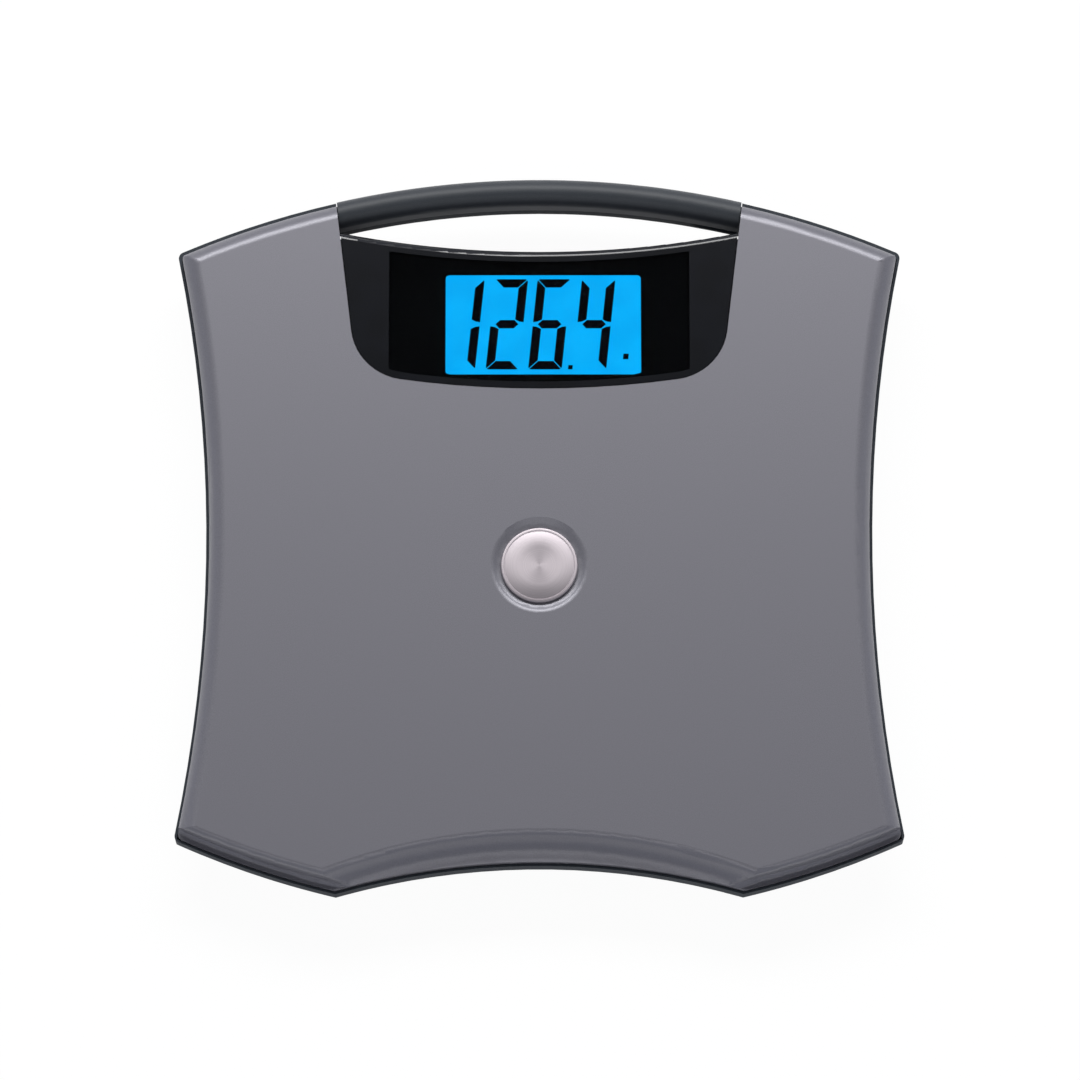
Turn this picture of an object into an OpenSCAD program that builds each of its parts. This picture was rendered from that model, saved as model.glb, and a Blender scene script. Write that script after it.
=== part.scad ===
// Electronic bathroom scale with a carrying handle, in millimetres.
// The floor is z = 0, +Y points to the handle and -Y to the scooped front edge.

/* [Plan] */
// Overall depth, from the front tips to the back of the handle
scale_depth = 327.2; // [318:0.2:336]
// Radius of the back arc, shared by the rim and the handle
back_r = 395; // [375:1:430]
// Radius of the two front arcs
front_r = 387; // [370:1:410]
// Radius of the two hollow side arcs
side_r = 673; // [600:1:800]
// Half of the width at the waist
waist_half = 147.6; // [146:0.1:150]
// Place of the waist along the depth
waist_y = -9.9; // [-16:0.1:-4]
// Half of the distance between the two front tips
tip_x = 89.2; // [84:0.1:95]
// Radius of the hollow front edge between the tips
scallop_r = 322; // [290:1:380]
// Rounding of the four outer corners, in plan
corner_r = 3; // [1.5:0.5:5]

/* [Heights] */
// Top of the platform
top_z = 42; // [41:0.1:44]
// Top of the lower shell's rim
rim_z = 30; // [29.5:0.1:30.5]
// Underside of the lower shell
base_z = 8; // [7.5:0.1:8.2]
// Rounding of the lower shell's bottom edge
flare_r = 16; // [12:0.5:17]
// Height of the ledge along the platform's front edge
ledge_z = 31.5; // [31:0.1:33]

/* [Shells] */
// Wall of the platform
platform_wall = 2.4; // [2:0.1:2.8]
// Wall of the lower shell
base_wall = 2.4; // [2.2:0.1:2.8]
// Width of the rim left outside the platform at the back
lip_back = 2.8; // [2:0.1:3]
// Width of the rim left outside the platform at the sides
lip_side = 1.2; // [0.8:0.1:1.8]
// Width of the rim left outside the platform at the front
lip_front = 0.9; // [0.6:0.1:1.2]
// Play between the platform and the rim
shell_gap = 0.3; // [0.2:0.05:0.4]
// Height of the seat that the platform's skirt stands over
seat_z = 26; // [25.6:0.1:26.6]
// Rounding of the platform's edge at the back and sides
edge_r = 8; // [6:0.5:9]
// Rounding of the platform's edge at the front
front_edge_r = 3; // [2.9:0.1:3.5]
// Hollow between the front riser and the ledge
front_cove_r = 2.2; // [1.6:0.1:2.8]
// Distance of the front riser inside the outline
riser_in = 4.8; // [4.4:0.1:5.6]
// Thickness of the platform's ribs
rib_w = 1.6; // [1.2:0.1:2.4]
// Lower edge of the platform's ribs
rib_z = 31; // [30:0.5:34]

/* [Front scoop] */
// Radius of the scoop's crease, in plan
scoop_r = 258; // [240:1:280]
// Distance of the crease behind the hollow front edge, at the middle
scoop_in = 11; // [10:0.1:13]
// Steepest slope of the scoop
scoop_slope = 62; // [55:1:70]
// Length of the scoop's straight slope
scoop_slope_l = 1; // [0.8:0.1:3]
// Rounding at the top of the scoop
scoop_edge_r = 4; // [3.2:0.1:5]

/* [Display bay and finger gap] */
// Half width of the bay at its measuring line
bay_half = 84.8; // [82:0.1:86]
// Place of the measuring line along the depth
bay_line_y = 98.4; // [96:0.1:101]
// Widening of the bay towards the handle
bay_flare = 0.12; // [0.08:0.01:0.15]
// Front end of the bay
bay_front_y = 62.9; // [61.5:0.1:63.5]
// Radius of the bay's front arc
bay_front_r = 440; // [400:5:520]
// Rounding of the bay's two front corners
bay_corner_r = 26; // [22:1:30]
// Front end of the finger gap, at the middle
gap_front_y = 127.4; // [126:0.1:128.5]
// Radius of the finger gap's front wall
gap_front_r = 452.5; // [420:0.5:500]

/* [Handle] */
// Width of the handle bar
handle_w = 12.3; // [11.5:0.1:13]
// Top of the handle
handle_top_z = 37; // [35:0.5:39]
// Underside of the handle
handle_low_z = 15; // [13:0.5:16]
// Parting line between the handle's two halves
handle_split_z = 25.4; // [24.8:0.1:25.6]
// Wall of the handle's upper half
handle_wall = 2.2; // [1.8:0.1:2.6]
// Depth of the handle's lower half in the walls at its ends
handle_root = 0.6; // [0.4:0.1:1]
// Setback of the handle behind the rim's arc
handle_in = 0.2; // [0.1:0.05:0.3]
// Clearance at the ends of the handle's upper half
handle_end_gap = 0.4; // [0.3:0.1:0.6]

/* [Display] */
// Clearance round the display housing
housing_gap = 0.4; // [0.3:0.05:0.5]
// Step of the housing's top below the platform's top
housing_step = 0.3; // [0.1:0.1:0.6]
// Thickness of the housing's top plate
housing_plate = 3.3; // [3:0.1:3.6]
// Wall of the housing's skirt
housing_wall = 1.2; // [1:0.1:1.3]
// Rounding of the housing's edge over the finger gap
housing_edge_r = 3; // [2:0.1:3.2]
// Half width of the front window
lens_half = 67; // [64:0.5:70]
// Thickness of the front window
lens_t = 1.7; // [1.5:0.1:1.8]
// Margin of the front window in front and behind
lens_margin = 3; // [2.5:0.1:3.5]
// Play round the front window
lens_gap = 0.1; // [0.05:0.05:0.2]
// Sideways place of the LCD
lcd_x = 1.8; // [0:0.1:2.5]
// Place of the LCD along the depth
lcd_y = 93; // [92.8:0.1:93.6]
// Width of the LCD glass
lcd_w = 90; // [86:0.5:91]
// Depth of the LCD glass
lcd_d = 49; // [47:0.1:49.2]
// Thickness of the LCD glass
lcd_t = 2.6; // [2.2:0.1:2.8]
// Width of the LCD's visible window
window_w = 87; // [82:0.5:88]
// Depth of the LCD's visible window
window_d = 46; // [43:0.5:47]
// Wall of the LCD frame
frame_wall = 0.9; // [0.8:0.1:1]
// Floor of the LCD frame
frame_floor = 2.4; // [2:0.1:2.8]
// Thickness of the diffuser and reflector sheets
sheet_t = 0.3; // [0.2:0.05:0.4]
// Depth of the light guide
guide_d = 41; // [38:0.5:42]
// Thickness of the light guide
guide_t = 3; // [2.6:0.1:3.1]
// Width of the zebra strips
zebra_w = 2; // [1.6:0.1:2.2]
// Width of the LED strip
led_strip_w = 2.6; // [2:0.1:3]

/* [Electronics] */
// Width of the main board, with the standard LCD
board_w = 104; // [100:0.5:106]
// Depth of the main board
board_d = 52; // [50:0.5:53]
// Thickness of the circuit boards
board_t = 1.6; // [1.2:0.1:1.7]
// Side of the main chip
chip_w = 14; // [10:0.5:16]
// Thickness of the chips
chip_t = 1.6; // [1.2:0.1:2]
// Diameter of the board capacitors
cap_d = 5; // [4:0.1:6]
// Height of the board capacitors
cap_h = 6.5; // [5:0.1:8]
// Length of a lead socket
socket_w = 8; // [6:0.5:9]
// Width of a lead socket
socket_d = 5; // [4:0.5:6]
// Height of a lead socket
socket_h = 3; // [2.6:0.1:3.2]
// Diameter of the leads
lead_d = 2; // [1.6:0.1:2.2]

/* [Badge] */
// Place of the badge along the depth
badge_y = -18; // [-22:0.5:-14]
// Diameter of the badge
badge_d = 34; // [30:0.5:36]
// Thickness of the badge
badge_t = 1.5; // [1.2:0.1:1.6]
// Diameter of the dish at the platform's face
dish_d = 44; // [40:0.5:48]
// Depth of the dish
dish_depth = 2; // [1.8:0.1:2.2]
// Thickness of the adhesive disc
tape_t = 0.3; // [0.2:0.05:0.4]
// Play round the badge
badge_gap = 0.4; // [0.3:0.1:0.8]

/* [Feet and load cells] */
// Sideways place of the feet
foot_x = 116; // [114:0.1:117]
// Place of the rear feet along the depth
foot_rear_y = 88; // [86:0.1:89]
// Place of the front feet along the depth
foot_front_y = -106; // [-107:0.1:-104]
// Diameter of the feet
foot_d = 28; // [26:0.5:29]
// Play round a foot in its hole
foot_play = 0.4; // [0.3:0.05:0.5]
// Diameter of the foot's retaining flange
flange_d = 32.4; // [31.6:0.1:32.6]
// Thickness of the foot's retaining flange
flange_t = 2; // [1.6:0.1:2.4]
// Height of the foot's lower edge above the floor
foot_low_z = 1.6; // [1.2:0.1:2]
// Diameter of the stud that pushes on the load cell
stud_d = 8; // [6:0.5:9]
// Diameter of the rubber pads
pad_d = 25; // [22:0.5:26]
// Thickness of the rubber pads
pad_t = 3.3; // [3:0.1:3.6]
// Side of a load cell
cell_w = 33.9; // [33:0.1:34.1]
// Thickness of a load cell
cell_t = 3; // [2.6:0.1:3.1]
// Underside of a load cell
cell_z = 16.05; // [16:0.01:16.2]
// Width of a load cell's frame
cell_frame = 4; // [3.4:0.1:4.4]
// Width of a load cell's beam
beam_w = 12; // [10:0.5:14]
// Side of a load cell bracket
bracket_w = 44; // [43:0.5:46]
// Top plate of a load cell bracket
bracket_plate = 2.7; // [2.4:0.1:3]
// Play round a load cell in its bracket
cell_play = 0.25; // [0.2:0.05:0.3]
// Height of the gauge coat on the beam
coat_h = 2.3; // [2:0.1:2.5]

/* [Battery bay] */
// Diameter of a battery
battery_d = 10.5; // [10.2:0.1:10.6]
// Length of a battery without its nub
battery_l = 44.5; // [44:0.1:44.6]
// Distance between two batteries
battery_pitch = 11; // [10.9:0.05:11.3]
// Place of the bay's front end along the depth
bay_low_y = -87; // [-89:0.1:-86]
// Play along the batteries
bay_play = 0.2; // [0.2:0.05:0.5]
// Wall of the battery bay
cell_bay_wall = 2; // [1.6:0.1:2.4]
// Thickness of the contact plates
plate_t = 0.4; // [0.3:0.05:0.5]
// Radius of a contact spring
spring_r = 3; // [2.4:0.1:3.6]
// Thickness of a contact spring's wire
spring_wire = 0.7; // [0.5:0.05:0.8]
// Turns of a contact spring
spring_turns = 3; // [2:1:4]
// Thickness of the battery door
door_t = 2.2; // [2:0.05:2.3]
// Play round the battery door
door_gap = 0.3; // [0.2:0.05:0.4]
// Play behind the door's hinge barrel
hinge_gap = 0.5; // [0.4:0.05:0.8]
// Radius of the door's hinge barrel
barrel_r = 1.2; // [1.1:0.05:1.3]
// Radius of the door's trunnions
trunnion_r = 0.8; // [0.7:0.05:0.9]
// Radial play of the trunnions
trunnion_play = 0.05; // [0.02:0.01:0.1]

/* [Units button] */
// Sideways place of the button
button_x = 40; // [38:0.5:42]
// Place of the button along the depth
button_y = -48; // [-50:0.5:-46]
// Diameter of the button
button_d = 10; // [8:0.5:11]
// Play round the button
button_play = 0.3; // [0.2:0.05:0.4]
// Side of the switch
switch_w = 6; // [5:0.1:7]
// Height of the switch
switch_h = 3.5; // [3:0.1:3.8]
// Diameter of the switch's plunger
plunger_d = 3.5; // [3:0.1:3.8]
// Underside of the switch board
switch_board_z = 16.5; // [16:0.1:17]

/* [Fasteners] */
// Diameter of the case screws
case_screw_d = 2.9; // [2.5:0.1:3.1]
// Head diameter of the case screws
case_head_d = 6; // [5.2:0.1:6.4]
// Diameter of the small screws
small_screw_d = 2; // [1.8:0.1:2.2]
// Head diameter of the small screws
small_head_d = 3.8; // [3.4:0.1:4.2]
// Height of a screw head
head_h = 1.6; // [1.4:0.1:1.8]
// Radial play of a screw in its hole
screw_play = 0.05; // [0.03:0.01:0.08]

/* [Hidden] */

arc_fn = 256;
fine_fn = 96;
small_fn = 48;
eps = 0.01;
over = 1;
// How far a rib or a cutting plan reaches past the outline
reach = 20;
// Added to a rounding's radius, so that it crosses its neighbours at a clear angle
nudge = 0.005;
// Gap left between pieces that rest on one another
rest_gap = 0.05;
// Gap left between the layers under the display window
stack_gap = 0.1;

silver = "#8a898f";
slate = "#2b3036";
gloss_black = "#0d0f13";
lcd_blue = "#05abf2";
steel = "#a8a9ad";
rubber_black = "#1c1c1e";
board_green = "#1d5a35";
moulded_grey = "#55585c";

// Circle centres of the plan, worked out from the tips, the waist and the handle
back_cy = scale_depth / 2 + handle_in - back_r;
tip_y = -scale_depth / 2;
front_cy = tip_y + sqrt(pow(front_r, 2) - pow(tip_x, 2));
scallop_cy = tip_y - sqrt(pow(scallop_r, 2) - pow(tip_x, 2));
side_cx = waist_half + side_r;
scoop_cy = scallop_cy + scallop_r + scoop_in - scoop_r;
scoop_rise = top_z - ledge_z;
scoop_cove_r = (scoop_rise - scoop_slope_l * sin(scoop_slope)) / (1 - cos(scoop_slope)) - scoop_edge_r;
scoop_cove_h = scoop_cove_r * (1 - cos(scoop_slope));
scoop_crease = [scoop_r, ledge_z + scoop_cove_h + scoop_slope_l / 2 * sin(scoop_slope)];
platform_in = shell_gap;
skirt_z = seat_z + shell_gap;
floor_z = base_z + base_wall;
inner_top_z = top_z - platform_wall;

// The display bay's outline
bay_norm = 1 / sqrt(1 + pow(bay_flare, 2));
bay_side_n = [bay_norm, -bay_flare * bay_norm];
bay_side_d = bay_side_n * [bay_half, bay_line_y];
bay_front_cy = bay_front_y + bay_front_r;
gap_front_cy = gap_front_y + gap_front_r;
bay_tangent = [-bay_side_n[1], bay_side_n[0]];
bay_corner_d = bay_side_d - bay_corner_r;
bay_along = bay_front_cy * bay_tangent[1];
bay_across = bay_corner_d - bay_front_cy * bay_side_n[1];
bay_corner_c = bay_corner_d * bay_side_n
    + (bay_along - sqrt(pow(bay_front_r - bay_corner_r, 2) - pow(bay_across, 2))) * bay_tangent;
bay_wall_z = rim_z + shell_gap;

// The handle
handle_mid_r = back_r - handle_in - handle_w / 2;
handle_round = handle_w / 2;
handle_half_angle = 16;
handle_screw_angles = [-9.5, -3.2, 3.2, 9.5];
handle_boss_d = 6.6;
handle_head_z = handle_split_z - 4;
handle_screw_top = handle_top_z - 3.4;

// The display stack, from the housing's top plate down to the board
housing_top_z = top_z - housing_step;
housing_low_z = housing_top_z - housing_plate;
lens_low_z = housing_top_z - lens_t - lens_gap;
lcd_top_z = housing_low_z - stack_gap;
lcd_low_z = lcd_top_z - lcd_t;
guide_top_z = lcd_low_z - sheet_t - stack_gap;
guide_low_z = guide_top_z - guide_t;
reflector_low_z = guide_low_z - sheet_t;
frame_low_z = reflector_low_z - stack_gap - frame_floor;
board_top_z = frame_low_z - stack_gap;
board_low_z = board_top_z - board_t;
sheet_w = lcd_w - 1;
led_tape_t = 1;
leds = 4;
led_l = 3;
led_rim = 0.5;
frame_play = 0.2;
pocket_w = lcd_w + 2 * frame_play;
pocket_d = lcd_d + 2 * frame_play;
zebra_y = (guide_d + lcd_d) / 4;
zebra_l = lcd_w - 8;
board_boss_d = 4.6;
board_boss_gap = 0.8;
board_ear = 2.8;
standard_lcd_w = 90;
board_half = (board_w + lcd_w - standard_lcd_w) / 2;
board_boss_x = pocket_w / 2 + frame_wall + board_boss_gap + board_boss_d / 2;
board_boss_y = 20.5;
board_screw_reach = 3;
board_screw_top = housing_low_z - board_screw_reach;
// Corner and size of the two side chips, measured from the board's middle
side_chips = [[-26, -3, 9, 6], [16, 8, 10, 4]];
capacitor_x = 18;
capacitor_y = -4;
capacitor_gap = 2;
capacitors = 3;
housing_posts = [[66, 87], [73, 119]];
housing_boss_d = 7.2;
housing_boss_l = 2.9;
housing_boss_z = bay_wall_z - shell_gap - housing_boss_l;
housing_screw_top = housing_top_z - 4;

// The feet, load cells and brackets
foot_places = [
    [-foot_x, foot_front_y], [foot_x, foot_front_y], [-foot_x, foot_rear_y], [foot_x, foot_rear_y]
];
tower_bore = flange_d + 2 * foot_play - 0.2;
cell_top_z = cell_z + cell_t;
plate_low_z = cell_top_z + stack_gap;
bracket_top_z = plate_low_z + bracket_plate;
stud_top_z = cell_z - rest_gap;
flange_low_z = floor_z + 0.3;
coat_y = 4.5;
coat_w = 9;
coat_d = 5;
bracket_hole_d = 18;
load_ring_d = 40;
load_ring_wall = 2.5;
load_ring_bore = load_ring_d - 2 * load_ring_wall;
bracket_screw_at = bracket_w / 2 - 2.5;
bracket_pad_d = 8;
bracket_pad_h = 2;
bracket_counterbore = 2.2;
bracket_screw_top = bracket_top_z - 3;
bracket_head_z = base_z + bracket_counterbore;

// The battery bay
cell_bay_half = 1.5 * battery_pitch + battery_d / 2 + 0.85;
spring_h = 3.7;
nub_h = 1;
nub_d = 3.8;
cell_bay_l = battery_l + nub_h + spring_h + 2 * plate_t + bay_play;
bay_high_y = bay_low_y + cell_bay_l;
battery_z = floor_z + battery_d / 2 + 0.15;
cell_bay_roof_z = battery_z + battery_d / 2 + 0.9;
bay_box_half = cell_bay_half + cell_bay_wall;
bay_box_l = cell_bay_l + 2 * cell_bay_wall;
hinge_y = bay_high_y - barrel_r - hinge_gap;
hinge_z = base_z + barrel_r;
trunnion_l = 1.7;
trunnion_end = 0.2;
notch_w = 16;
notch_d = 5;
notch_h = 1;
contact_h = 8;
contact_gap = 0.02;

// The units button
button_low_z = base_z + 0.6;
button_flange_z = floor_z + 0.3;
button_flange_d = button_d + 2.6;
switch_low_z = switch_board_z - switch_h;
button_top_z = switch_low_z - 0.5;
plunger_top_z = switch_low_z + 1.5;
plunger_room_z = plunger_top_z + 0.8;
switch_board_w = 24;
switch_board_d = 14;
switch_post_x = 9.4;
switch_post_d = 4.4;
switch_screw_reach = 4.5;

case_hole_r = case_screw_d / 2 + screw_play;
small_hole_r = small_screw_d / 2 + screw_play;

// The screws that close the case
case_posts = [
    [108, 122], [-108, 122], [126, 44], [-126, 44], [124, -62], [-124, -62],
    [56, -130], [-56, -130], [50, 44], [-50, 44], [0, -112]
];
case_post_d = 9;
case_boss_d = 8;
case_post_z = 24;
case_head_z = 20;
case_screw_top = 33;
counterbore_play = 0.4;

rib_h = inner_top_z - rib_z + platform_wall / 2;
base_rib_x = 84;
base_rib_low_y = -78;
base_rib_l = 132;
base_rib_h = 5;
rib_ys = [-124, -94, -64, -40, 4, 26, 52];
rib_xs = [-90, -60, -30, 0, 30, 60, 90];
badge_back_d = 50;
badge_back_t = 2.4;

// Routes of the leads, from the gauge coats, the battery bay and the switch to the sockets
board_x = lcd_x;
board_y = lcd_y + 1.2;
lead_end_z = board_low_z - 1.6;
side_socket_y = 100;
side_socket_x = 47.8;
front_socket_y = 71;
front_sockets = [-26, -8, 10, 29.6];
lead_sides = 8;
spring_sides = 6;
route_rl = [
    [-111.5, 92.5, 20.4], [-104, 92.5, 20.4], [-95, 92.5, 20.4], [-89, 92.7, 18], [-84, 93.5, 14],
    [-78, 95.5, 12], [-70, 98, 12.2], [-62, 100, 15], [-57, 100, 19], [-53, 100, 23.5],
    [-50, 100, lead_end_z],
    [board_x - side_socket_x, 100, lead_end_z]
];
route_rr = [
    [111.5, 92.5, 20.4], [104, 92.5, 20.4], [95, 92.5, 20.4], [89, 92.7, 18], [84, 93.5, 14],
    [78, 95.5, 12], [70, 98, 12.2], [64, 100, 15], [60, 100, 19], [56, 100, 23.5], [53, 100, lead_end_z],
    [board_x + side_socket_x, 100, lead_end_z]
];
route_fl = [
    [-111.5, -101.5, 20.4], [-104, -101.5, 20.4], [-95, -101.5, 20.4], [-89, -101, 17.5], [-84, -99, 14],
    [-78, -94, 12], [-70, -80, 11.8], [-62, -50, 11.8], [-50, 0, 11.8], [-36, 34, 11.8], [-28, 52, 14],
    [-26, 60, 19], [-26, 65, 23.5], [-26, 68, lead_end_z], [-26, 71, lead_end_z]
];
route_fr = [
    [111.5, -101.5, 20.4], [104, -101.5, 20.4], [95, -101.5, 20.4], [89, -101, 17.5], [84, -99, 14],
    [78, -94, 12], [70, -80, 11.8], [62, -50, 11.8], [50, 0, 11.8], [36, 34, 11.8], [31, 52, 14],
    [29.6, 60, 19], [29.6, 65, 23.5], [29.6, 68, lead_end_z], [29.6, 71, lead_end_z]
];
route_battery = [
    [0, bay_high_y + cell_bay_wall, 18], [0, -31, 18], [-1, -26, 15], [-2, -20, 12.2], [-4, -5, 11.8],
    [-8, 20, 11.8], [-9, 42, 12.5], [-8, 54, 16], [-8, 61, 20.5], [-8, 65.5, 24.5], [-8, 68.5, lead_end_z],
    [-8, 71, lead_end_z]
];
route_switch = [
    [button_x, button_y + switch_board_d / 2, switch_board_z + board_t / 2],
    [40, -37, 17.2], [39, -31, 14.5],
    [37, -25, 12.2], [32, -8, 11.8], [24, 15, 11.8], [15, 38, 12.2], [11, 52, 15.5], [10, 60, 20],
    [10, 65.5, 24.5], [10, 68.5, lead_end_z], [10, 71, lead_end_z]
];

// Unit vector along v
function unit(v) = v / norm(v);

// One of the two points where two circles meet
function circles_meet(a, ar, b, br, way) =
    let (d = norm(b - a), e = (b - a) / d, along = (ar * ar - br * br + d * d) / (2 * d))
    a + along * e + way * sqrt(ar * ar - along * along) * [-e[1], e[0]];

// Direction of a route at one of its points
function route_dir(p, i) = unit(p[min(i + 1, len(p) - 1)] - p[max(i - 1, 0)]);

// Ring of points square to a route
function ring_at(p, dir, ref, r, sides) =
    let (u = unit(cross(dir, ref)), v = cross(u, dir))
    [for (k = [0:sides - 1]) p + r * (cos(360 * k / sides) * u + sin(360 * k / sides) * v)];

module tube_faces(points, rings, sides) {
    walls = [for (i = [0:rings - 2], k = [0:sides - 1], h = [0, 1])
        let (a = i * sides + k, b = i * sides + (k + 1) % sides)
        h == 0 ? [a, b, b + sides] : [a, b + sides, a + sides]];
    first = [for (k = [1:sides - 2]) [0, k + 1, k]];
    last = [for (k = [1:sides - 2]) [0, k, k + 1] + (rings - 1) * sides * [1, 1, 1]];
    polyhedron(points, concat(first, walls, last));
}

module lead(route) {
    rings = [for (i = [0:len(route) - 1])
        each ring_at(route[i], route_dir(route, i), [0, 0, 1], lead_d / 2, lead_sides)];
    color("#b9b7b0") tube_faces(rings, len(route), lead_sides);
}

module revolved(x, y) translate([x, y, 0]) rotate_extrude($fn = arc_fn) children();

module both_sides() {
    children();
    mirror([1, 0, 0]) children();
}

// Section of a round slab whose top and bottom edges are rounded
module slab_section(r, low, high, top_round, low_round) {
    difference() {
        translate([0, low]) square([r, high - low]);
        if (top_round > 0) difference() {
            translate([r - top_round, high - top_round]) square(top_round + over);
            translate([r - top_round, high - top_round]) circle(top_round, $fn = fine_fn);
        }
        if (low_round > 0) difference() {
            translate([r - low_round, low - over]) square(low_round + over);
            translate([r - low_round, low + low_round]) circle(low_round, $fn = fine_fn);
        }
    }
}

// Section of a round cutter that leaves the same rounded edges on a hollow side
module cutter_section(r, low, high, top_round, low_round) {
    translate([r / 2, low - over]) square([r / 2, high - low + 2 * over]);
    if (top_round > 0) difference() {
        translate([r - eps, high - top_round]) square([top_round + eps, top_round + over]);
        translate([r + top_round, high - top_round]) circle(top_round, $fn = fine_fn);
    }
    if (low_round > 0) difference() {
        translate([r - eps, low - over]) square([low_round + eps, low_round + over]);
        translate([r + low_round, low + low_round]) circle(low_round, $fn = fine_fn);
    }
}

// Plan of the whole scale, drawn in by three distances
module outline(back_in, side_in, front_in) {
    difference() {
        intersection() {
            translate([0, back_cy]) circle(back_r - back_in, $fn = arc_fn);
            translate([0, front_cy]) circle(front_r - front_in, $fn = arc_fn);
        }
        both_sides() translate([side_cx, waist_y]) circle(side_r + side_in, $fn = arc_fn);
        translate([0, scallop_cy]) circle(scallop_r + front_in, $fn = arc_fn);
    }
}

// What is cut away from one corner to round it, in plan
module corner_waste(c, out_a, out_b) {
    reach = 4 * corner_r;
    difference() {
        polygon([c, c + reach * out_a, c + 2 * reach * unit(out_a + out_b), c + reach * out_b]);
        translate(c) circle(corner_r + nudge, $fn = small_fn);
    }
}

module corner_wastes(back_in, side_in, front_in) {
    side_c = [side_cx, waist_y];
    round_side = side_r + side_in + corner_r;
    back_c = circles_meet([0, back_cy], back_r - back_in - corner_r, side_c, round_side, 1);
    front_c = circles_meet([0, front_cy], front_r - front_in - corner_r, side_c, round_side, -1);
    both_sides() {
        corner_waste(back_c, unit(back_c - [0, back_cy]), unit(side_c - back_c));
        corner_waste(front_c, unit(front_c - [0, front_cy]), unit(side_c - front_c));
    }
}

// Two sloping sides of the display bay, drawn in by a distance
module bay_sides(in) {
    half_at = function (y) (bay_side_d - in - bay_side_n[1] * y) / bay_side_n[0];
    y_low = bay_front_y - reach;
    y_high = scale_depth / 2 + reach;
    low_half = half_at(y_low);
    high_half = half_at(y_high);
    polygon([[-low_half, y_low], [low_half, y_low], [high_half, y_high], [-high_half, y_high]]);
}

// Region behind the finger gap's front wall, drawn in by a distance
module handle_zone(in) {
    intersection() {
        bay_sides(in);
        translate([0, gap_front_cy]) circle(gap_front_r - in, $fn = arc_fn);
    }
}

// Outline of the display bay in front of the finger gap, drawn in by a distance
module display_outline(in) {
    out_side = bay_side_n;
    out_front = unit(bay_corner_c - [0, bay_front_cy]);
    reach = 2 * bay_corner_r;
    difference() {
        intersection() {
            bay_sides(in);
            translate([0, bay_front_cy]) circle(bay_front_r - in, $fn = arc_fn);
        }
        both_sides() difference() {
            polygon([
                bay_corner_c, bay_corner_c + reach * out_side,
                bay_corner_c + 2 * reach * unit(out_side + out_front), bay_corner_c + reach * out_front
            ]);
            translate(bay_corner_c) circle(bay_corner_r - in + nudge, $fn = fine_fn);
        }
    }
}

// Section of the platform's front: riser, hollow and ledge
module front_section(w, low) {
    riser_r = front_r - riser_in - w;
    cove = front_cove_r + w;
    ledge = ledge_z - w;
    slab_section(riser_r, low, top_z - w, front_edge_r - w, 0);
    translate([0, low]) square([front_r - lip_front - platform_in - w, ledge - low]);
    difference() {
        translate([riser_r - eps, ledge - eps]) square([cove + eps, cove + eps]);
        translate([riser_r + cove, ledge + cove]) circle(cove, $fn = fine_fn);
    }
}

// Section of what the scoop takes away: a hollow, a straight slope and a rounded edge
module scoop_section(w) {
    up = [cos(scoop_slope), sin(scoop_slope)];
    out = [-up[1], up[0]];
    cove_c = scoop_crease - scoop_slope_l / 2 * up + scoop_cove_r * out;
    edge_c = scoop_crease + scoop_slope_l / 2 * up - scoop_edge_r * out;
    low = cove_c - (scoop_cove_r + w) * out;
    high = edge_c + (scoop_edge_r - w) * out;
    past = high + scoop_slope_l / 2 * up;
    ledge = ledge_z - w;
    top = top_z + over;
    translate([scoop_r / 2, ledge]) square([cove_c[0] - scoop_r / 2, top - ledge]);
    intersection() {
        translate(cove_c) circle(scoop_cove_r + w + nudge, $fn = fine_fn);
        translate([cove_c[0] - eps, ledge]) square([low[0] - cove_c[0] + scoop_slope_l / 2, top - ledge]);
    }
    polygon([low, past, [past[0], top], [low[0], top]]);
    difference() {
        translate([high[0], edge_c[1]]) square([edge_c[0] - high[0], top - edge_c[1]]);
        translate(edge_c) circle(scoop_edge_r - w + nudge, $fn = fine_fn);
    }
}

// The platform as a full body, drawn in by a wall
module platform_body(w, low) {
    round_r = back_r - lip_back - platform_in - w;
    difference() {
        intersection() {
            revolved(0, back_cy) slab_section(round_r, low, top_z - w, edge_r - w, 0);
            revolved(0, front_cy) front_section(w, low);
        }
        both_sides() revolved(side_cx, waist_y)
            cutter_section(side_r + lip_side + platform_in + w, low, top_z - w, edge_r - w, 0);
        revolved(0, scallop_cy)
            cutter_section(scallop_r + lip_front + platform_in + w, low, top_z - w, 0, 0);
        revolved(0, scoop_cy) scoop_section(w);
        if (w == 0) translate([0, 0, low - over]) linear_extrude(top_z)
            corner_wastes(lip_back + platform_in, lip_side + platform_in, lip_front + platform_in);
    }
}

module bay_prism(in, low, high) {
    translate([0, 0, low]) linear_extrude(high - low) {
        difference() {
            display_outline(in);
            handle_zone(over);
        }
        handle_zone(in);
    }
}

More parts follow.
